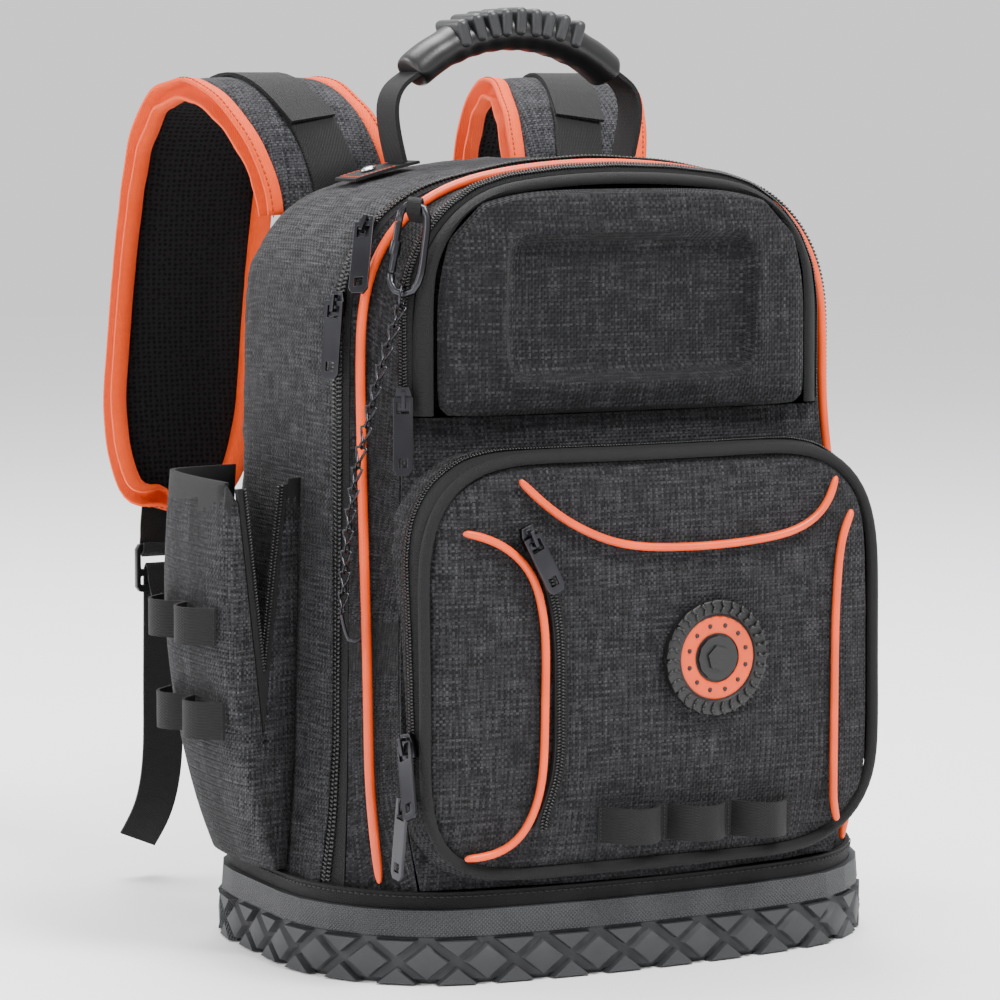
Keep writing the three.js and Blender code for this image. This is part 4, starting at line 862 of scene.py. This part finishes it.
# Sunk panel with a raised lip round it, pressed into the moulded cover
def emboss(bm):
    for vert in bm.verts:
        if vert.normal.y > -0.2:
            continue
        x = max(0, abs(vert.co.x - RECESS_AT.x) - RECESS_HALF[0] + RECESS_CORNER)
        z = max(0, abs(vert.co.z - RECESS_AT.z) - RECESS_HALF[1] + RECESS_CORNER)
        away = math.hypot(x, z) - RECESS_CORNER
        inside = min(1, max(0, -away / RECESS_WALL))
        lip = math.exp(-(((away - LIP_AWAY) / LIP_SPREAD) ** 2))
        vert.co.y += RECESS_DEPTH * inside - LIP_HEIGHT * lip


class BACKPACK_OT_cover(Build, bpy.types.Operator):
    """Moulded cover of the front compartment with its binding"""

    bl_idname = "backpack.cover"
    bl_label = "Cover"

    def execute(self, context):
        bm = smoothed(merged("hard_shell"), 3, 20, 0.6)
        emboss(bm)
        bm.normal_update()
        wrap_uv(bm, "Y", COVER_CENTRE)
        sharp(bm, 60)
        piece("cover", bm, "cover_cloth", ["hard_shell"])
        soft("shell_binding", "binding", ("Y", BINDING_CENTRE), crease=75)
        return {"FINISHED"}


class BACKPACK_OT_pocket(Build, bpy.types.Operator):
    """Front pocket with its piping, binding and tool loops"""

    bl_idname = "backpack.pocket"
    bl_label = "Front pocket"

    def execute(self, context):
        around = ("Y", POCKET_CENTRE)
        soft("lower_pocket", "canvas", around, crease=70, folds=sizes().wrinkle * 0.5)
        bm = smoothed(merged("pocket_binding"), 2, 180)
        swell(bm, EDGE_SWELL)
        for vert in bm.verts:
            outward = Vector((vert.co.x, EDGE_LEAN, vert.co.z - EDGE_MIDDLE)).normalized()
            vert.co -= outward * EDGE_MOVE
        bm.normal_update()
        box_uv(bm)
        piece("pocket_edge", bm, "binding", ["pocket_binding"])
        for side in ("top", "left", "right"):
            soft(f"pocket_piping_{side}", "piping", crease=180, puff=0.5 * MM)
        soft("tool_loops", "webbing")
        tree = tree_of(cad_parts["tool_loops"])
        tacks = []
        for k, x in enumerate(TACKS):
            hits = []
            for up in TACK_RUN:
                start = Vector((x * MM, -RAY_FROM, (TACK_TOP - TACK_DROP * k + up) * MM))
                hit = cast(tree, start, Vector((0, 1, 0)), RAY_REACH)
                if hit[0]:
                    hits.append(hit)
            if len(hits) > 1:
                tacks.append(tuple(zip(*hits)))
        stitches("loop_tacks", tacks, pitch=2 * MM)
        return {"FINISHED"}


class BACKPACK_OT_zips(Build, bpy.types.Operator):
    """Zip tapes with their coils"""

    bl_idname = "backpack.zips"
    bl_label = "Zips"

    def execute(self, context):
        size = sizes()
        for name, (height, _, _, _) in ROUND_ZIPS.items():
            soft(f"{name}_zipper", "binding", ("Y", (0, height)))
        soft("slash_zipper", "binding")
        for name, (height, half_angle, tooth, width) in ROUND_ZIPS.items():
            line = band_line(f"{name}_zipper", height, half_angle)
            coil(f"{name}_coil", *line, getattr(size, tooth), width)
        coil("slash_coil", *front_line("slash_zipper"), size.small_tooth, SLASH_COIL)
        return {"FINISHED"}


class BACKPACK_OT_side_pocket(Build, bpy.types.Operator):
    """Open side pocket, its notch zip and elastic loops"""

    bl_idname = "backpack.side_pocket"
    bl_label = "Side pocket"

    def execute(self, context):
        bm = smoothed(merged("side_pocket"), 2, 60)
        bm.normal_update()
        wrap_uv(bm, "Z", SIDE_POCKET_CENTRE)
        for face in bm.faces:
            face.material_index = int(face.calc_center_median().z > RIM_HEIGHT)
        piece("side_pouch", bm, ["side_canvas", "binding"], ["side_pocket"])
        soft("side_pocket_zipper", "binding", levels=1, crease=40)
        for name, top in NOTCH_TOPS.items():
            line = subdivided([NOTCH_TIP, top * MM], 20)
            facing = [NOTCH_FACING] * len(line)
            coil(f"notch_coil_{name}", line, facing, sizes().small_tooth, NOTCH_COIL)
        soft("side_loops_upper", "webbing")
        soft("side_loops_lower", "webbing")
        return {"FINISHED"}


class BACKPACK_OT_handle(Build, bpy.types.Operator):
    """Carry handle: webbing, ribbed grip, patches and rivets"""

    bl_idname = "backpack.handle"
    bl_label = "Handle"

    def execute(self, context):
        soft("handle_webbing", "webbing")
        bm = smoothed(merged("handle_grip"), 2, 100)
        box_uv(bm)
        tree = BVHTree.FromBMesh(bm)
        piece("grip", bm, "grip", ["handle_grip"])
        bm = bmesh.new()
        down = Vector((0, 0, -1))
        for k in range(RIBS):
            x = (k - RIBS // 2) * RIB_PITCH
            spot, normal, _, _ = tree.ray_cast(Vector((x, HANDLE_BACK, 0.6)), down)
            normal = Vector((normal.x, 0, normal.z)).normalized()
            along = Vector((normal.z, 0, -normal.x))
            at = basis(spot - normal * RIB_SINK, along, Vector((0, 1, 0)), normal)
            matrix = at @ Matrix.Diagonal((*RIB_SIZE, 1))
            made = bmesh.ops.create_cube(bm, size=1, matrix=matrix)["verts"]
            edges = list({edge for vert in made for edge in vert.link_edges})
            rounded(bm, edges, RIB_ROUND, 4)
        bm.normal_update()
        piece("grip_ribs", bm, "grip_ribs")
        for side, sign in (("left", -1), ("right", 1)):
            soft(f"handle_patch_{side}", "webbing")
            tree = tree_of(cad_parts[f"handle_patch_{side}"])
            seam = []
            for x, y in PATCH_SEAM:
                seam.append(cast(tree, Vector((sign * x * MM, y * MM, 0.5)), down, RAY_REACH))
            line = tuple(zip(*seam))
            stitches(f"patch_stitches_{side}", [line], "orange_thread", pitch=2.8 * MM)
            dress(f"rivet_{side}", "steel", 0.3 * MM, 3)
        return {"FINISHED"}


# Outer face of the left strap: its edge lines, middle line, outward normals and thickness
def strap_edges(rays=100):
    tree = tree_of(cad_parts["strap_pad_left"])
    left, right, centre, normals, thick = [], [], [], [], []
    low, high = STRAP_SIDES
    for i in range(STRAP_STEPS + 1):
        a = math.radians(STRAP_FROM + (STRAP_TO - STRAP_FROM) * i / STRAP_STEPS)
        way = Vector((0, math.sin(a), math.cos(a)))
        hits = []
        for k in range(rays + 1):
            origin = STRAP_CENTRE + way * 0.35 + Vector((low + (high - low) * k / rays, 0, 0))
            hit = cast(tree, origin, -way, 0.34)
            if hit[0]:
                hits.append(hit)
        if not hits:
            continue
        middle = hits[len(hits) // 2]
        under = tree.ray_cast(middle[0] - way * MM, -way, 0.05)
        left.append(hits[0][0])
        right.append(hits[-1][0])
        centre.append(middle[0])
        normals.append(middle[1])
        thick.append(Vector(((under[0] - middle[0]).length if under[0] else 8 * MM, 0, 0)))
    return [eased(line) for line in (left, right, centre, normals, thick)]


# Closed section of the binding that folds round a pad of this thickness
def binding_section(pad):
    width, lift, inner = BINDING_WIDTH, BINDING_LIFT, BINDING_INNER
    return [
        (-width, lift),
        (-width * 0.5, lift * 1.3),
        (0, lift),
        (BINDING_OUT, -pad * 0.25),
        (BINDING_OUT, -pad * 0.75),
        (0, -pad - lift),
        (-width * 0.5, -pad - lift * 1.3),
        (-width, -pad - lift),
        (-width, -pad * 0.9),
        (-inner, -pad * 0.9),
        (-inner, -pad * 0.1),
        (-width, -pad * 0.1),
    ]


class BACKPACK_OT_straps(Build, bpy.types.Operator):
    """Padded shoulder straps with orange binding, webbing and tails"""

    bl_idname = "backpack.straps"
    bl_label = "Straps"

    def execute(self, context):
        left, right, centre, normals, thick = strap_edges()
        ahead = (left[-1] - left[-3]).normalized() * 2 * MM
        foot = [left[-1].lerp(right[-1], share) + ahead for share in (0.2, 0.4, 0.6, 0.8)]
        rim = left + foot + right[::-1]
        out = normals + [normals[-1]] * len(foot) + normals[::-1]
        depth = [step.x for step in thick + [thick[-1]] * len(foot) + thick[::-1]]
        route = frames_along(eased(rim, 4), out, SWEEP_STEP)

        def binding(share):
            return binding_section(depth[min(len(depth) - 1, round(share * (len(depth) - 1)))])

        for side, sign in (("left", 1), ("right", -1)):
            pad = smoothed(merged(f"strap_pad_{side}"), 3, 100)
            for face in pad.faces:
                spot = face.calc_center_median() - STRAP_CENTRE
                spot.x = 0
                face.material_index = int(face.normal.dot(spot.normalized()) < 0)
            wrap_uv(pad, "X", (STRAP_CENTRE.y, STRAP_CENTRE.z), 0.8)
            looks = ["heather", "air_mesh"]
            padded = piece(f"strap_{side}", pad, looks, [f"strap_pad_{side}"])
            bm = sweep(route, binding)
            if sign < 0:
                mirrored(bm)
            bm.normal_update()
            replaced = [f"strap_binding_{side}"]
            piece(f"strap_edge_{side}", bm, "orange_binding", replaced)
            flip = Vector((sign, 1, 1))
            seam = []
            for p, tangent, normal in route:
                seam.append((p - tangent.cross(normal) * STITCH_IN + normal * STITCH_UP) * flip)
            ups = [normal * flip for _, _, normal in route]
            stitches(f"strap_stitches_{side}", [(seam, ups)], "orange_thread")
            soft(f"strap_webbing_{side}", "webbing")
            line = frames_along(centre[:BAND_STEPS], normals[:BAND_STEPS], SWEEP_STEP)
            band = sweep(line, lambda share: flat_section(BAND_WIDTH, BAND_THICK))
            if sign < 0:
                mirrored(band)
            band.normal_update()
            piece(f"strap_band_{side}", band, "webbing")
            soft(f"lower_webbing_{side}", "webbing")
            dress(f"ladder_lock_{side}", "plastic", 0.8 * MM, 3)
        soft("sternum_webbing", "webbing")
        dress("sternum_buckle", "plastic", 1.6 * MM, 3)
        return {"FINISHED"}


class BACKPACK_OT_badge(Build, bpy.types.Operator):
    """Rubber badge with an orange ring"""

    bl_idname = "backpack.badge"
    bl_label = "Badge"

    def execute(self, context):
        dress("badge", "badge_rubber", 0.3 * MM)
        xs, ys, zs = zip(*[v.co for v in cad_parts["badge"].data.vertices])
        middle_x, middle_z = (min(xs) + max(xs)) / 2, (min(zs) + max(zs)) / 2
        centre = Vector((middle_x, min(ys) + RING_DEPTH * MM, middle_z))
        bm = bmesh.new()
        profile = bmesh.ops.create_circle(bm, segments=16, radius=1)["verts"]
        for vert in profile:
            x = RING_RADIUS + RING_HALF * vert.co.x
            vert.co = Vector((x, -RING_RISE * vert.co.y, 0)) * MM
        bmesh.ops.spin(
            bm,
            geom=bm.verts[:] + bm.edges[:],
            cent=(0, 0, 0),
            axis=(0, 1, 0),
            angle=math.tau,
            steps=72,
            use_merge=True,
        )
        bmesh.ops.remove_doubles(bm, verts=bm.verts, dist=0.01 * MM)
        bmesh.ops.recalc_face_normals(bm, faces=bm.faces)
        bmesh.ops.translate(bm, vec=centre, verts=bm.verts)
        piece("badge_ring", bm, "badge_orange")
        bm = bmesh.new()
        for k in range(STUDS):
            a = math.tau * (k + 0.5) / STUDS
            place_on = Vector((RING_RADIUS * math.cos(a), -STUD_RISE, RING_RADIUS * math.sin(a)))
            at = Matrix.Translation(centre + place_on * MM)
            radius = STUD_RADIUS * MM
            bmesh.ops.create_uvsphere(bm, u_segments=10, v_segments=6, radius=radius, matrix=at)
        for k in range(BLOCKS):
            a = math.tau * k / BLOCKS
            out = Vector((math.cos(a), 0, math.sin(a)))
            turned = Vector((-math.sin(a), 0, math.cos(a)))
            for reach, slant in BLOCK_ROWS:
                lean = (out + turned * slant).normalized()
                spot = centre + out * reach * MM + Vector((0, -BLOCK_RISE * MM, 0))
                at = basis(spot, lean, Vector((0, 1, 0)), lean.cross(Vector((0, 1, 0))))
                matrix = at @ Matrix.Diagonal((*BLOCK_SIZE, 1))
                bmesh.ops.create_cube(bm, size=1, matrix=matrix)
        bmesh.ops.recalc_face_normals(bm, faces=bm.faces)
        piece("badge_studs", bm, "badge_rubber")
        return {"FINISHED"}


class BACKPACK_OT_hardware(Build, bpy.types.Operator):
    """Zip sliders and pulls, snap hook and chain"""

    bl_idname = "backpack.hardware"
    bl_label = "Hardware"

    def execute(self, context):
        for name in ("main_upper", "main_lower", "shell", "pocket_upper", "pocket_lower", "slash"):
            dress(f"slider_{name}", "metal", 0.4 * MM)
            dress(f"pull_{name}", "metal", 0.35 * MM)
        for name in ("snap_hook", "snap_gate", "tape_chain"):
            dress(name, "metal")
        soft("hook_loop", "webbing")
        return {"FINISHED"}


# Turn that makes a lamp or a camera look against this direction
def facing(backwards):
    return backwards.to_track_quat("Z", "Y").to_euler()


class BACKPACK_OT_stage(Build, bpy.types.Operator):
    """Floor, soft lights and camera"""

    bl_idname = "backpack.stage"
    bl_label = "Stage"

    def execute(self, context):
        bm = bmesh.new()
        bmesh.ops.create_grid(bm, x_segments=1, y_segments=1, size=FLOOR_HALF)
        mesh = bpy.data.meshes.new("floor")
        bm.to_mesh(mesh)
        bm.free()
        floor = bpy.data.objects.new("floor", mesh)
        context.collection.objects.link(floor)
        mesh.materials.append(shader("floor", (0.97, 0.97, 0.97), 0.7)[0])
        for name, (spot, size, power) in LAMPS.items():
            light = bpy.data.lights.new(name, "AREA")
            light.size = size
            light.energy = power
            lamp = bpy.data.objects.new(name, light)
            lamp.location = spot
            lamp.rotation_euler = facing(Vector(spot) - LAMPS_AIM)
            context.collection.objects.link(lamp)
        world = bpy.data.worlds.new("studio")
        world.use_nodes = True
        sky = world.node_tree.nodes["Background"]
        sky.inputs["Color"].default_value = (1, 1, 1, 1)
        sky.inputs["Strength"].default_value = SKY_POWER
        context.scene.world = world
        view = bpy.data.cameras.new("view")
        view.lens = LENS
        view.sensor_width = SENSOR
        view.shift_x = SHIFT_X
        view.shift_y = SHIFT_Y
        eye = bpy.data.objects.new("view", view)
        eye.location = EYE_AT
        eye.rotation_euler = facing(EYE_BACK)
        context.collection.objects.link(eye)
        context.scene.camera = eye
        return {"FINISHED"}


OPERATORS = (
    BACKPACK_OT_boot,
    BACKPACK_OT_body,
    BACKPACK_OT_cover,
    BACKPACK_OT_pocket,
    BACKPACK_OT_zips,
    BACKPACK_OT_side_pocket,
    BACKPACK_OT_handle,
    BACKPACK_OT_straps,
    BACKPACK_OT_badge,
    BACKPACK_OT_hardware,
    BACKPACK_OT_stage,
)


class BACKPACK_PT_panel(bpy.types.Panel):
    bl_label = "Tool Backpack"
    bl_idname = "BACKPACK_PT_panel"
    bl_space_type = "VIEW_3D"
    bl_region_type = "UI"
    bl_category = "Backpack"

    def draw(self, context):
        for group in (context.scene.backpack_sizes, context.scene.backpack_colours):
            for name in group.__annotations__:
                self.layout.prop(group, name)
        for operator in OPERATORS:
            self.layout.operator(operator.bl_idname)


CLASSES = (BackpackSizes, BackpackColours, *OPERATORS, BACKPACK_PT_panel)


def register():
    for cls in CLASSES:
        bpy.utils.register_class(cls)
    bpy.types.Scene.backpack_sizes = bpy.props.PointerProperty(type=BackpackSizes)
    bpy.types.Scene.backpack_colours = bpy.props.PointerProperty(type=BackpackColours)


def unregister():
    del bpy.types.Scene.backpack_colours
    del bpy.types.Scene.backpack_sizes
    for cls in reversed(CLASSES):
        bpy.utils.unregister_class(cls)


def main():
    register()
    bpy.ops.backpack.boot()
    bpy.ops.backpack.body()
    bpy.ops.backpack.cover()
    bpy.ops.backpack.pocket()
    bpy.ops.backpack.zips()
    bpy.ops.backpack.side_pocket()
    bpy.ops.backpack.handle()
    bpy.ops.backpack.straps()
    bpy.ops.backpack.badge()
    bpy.ops.backpack.hardware()
    bpy.ops.backpack.stage()


if __name__ == "__main__":
    main()
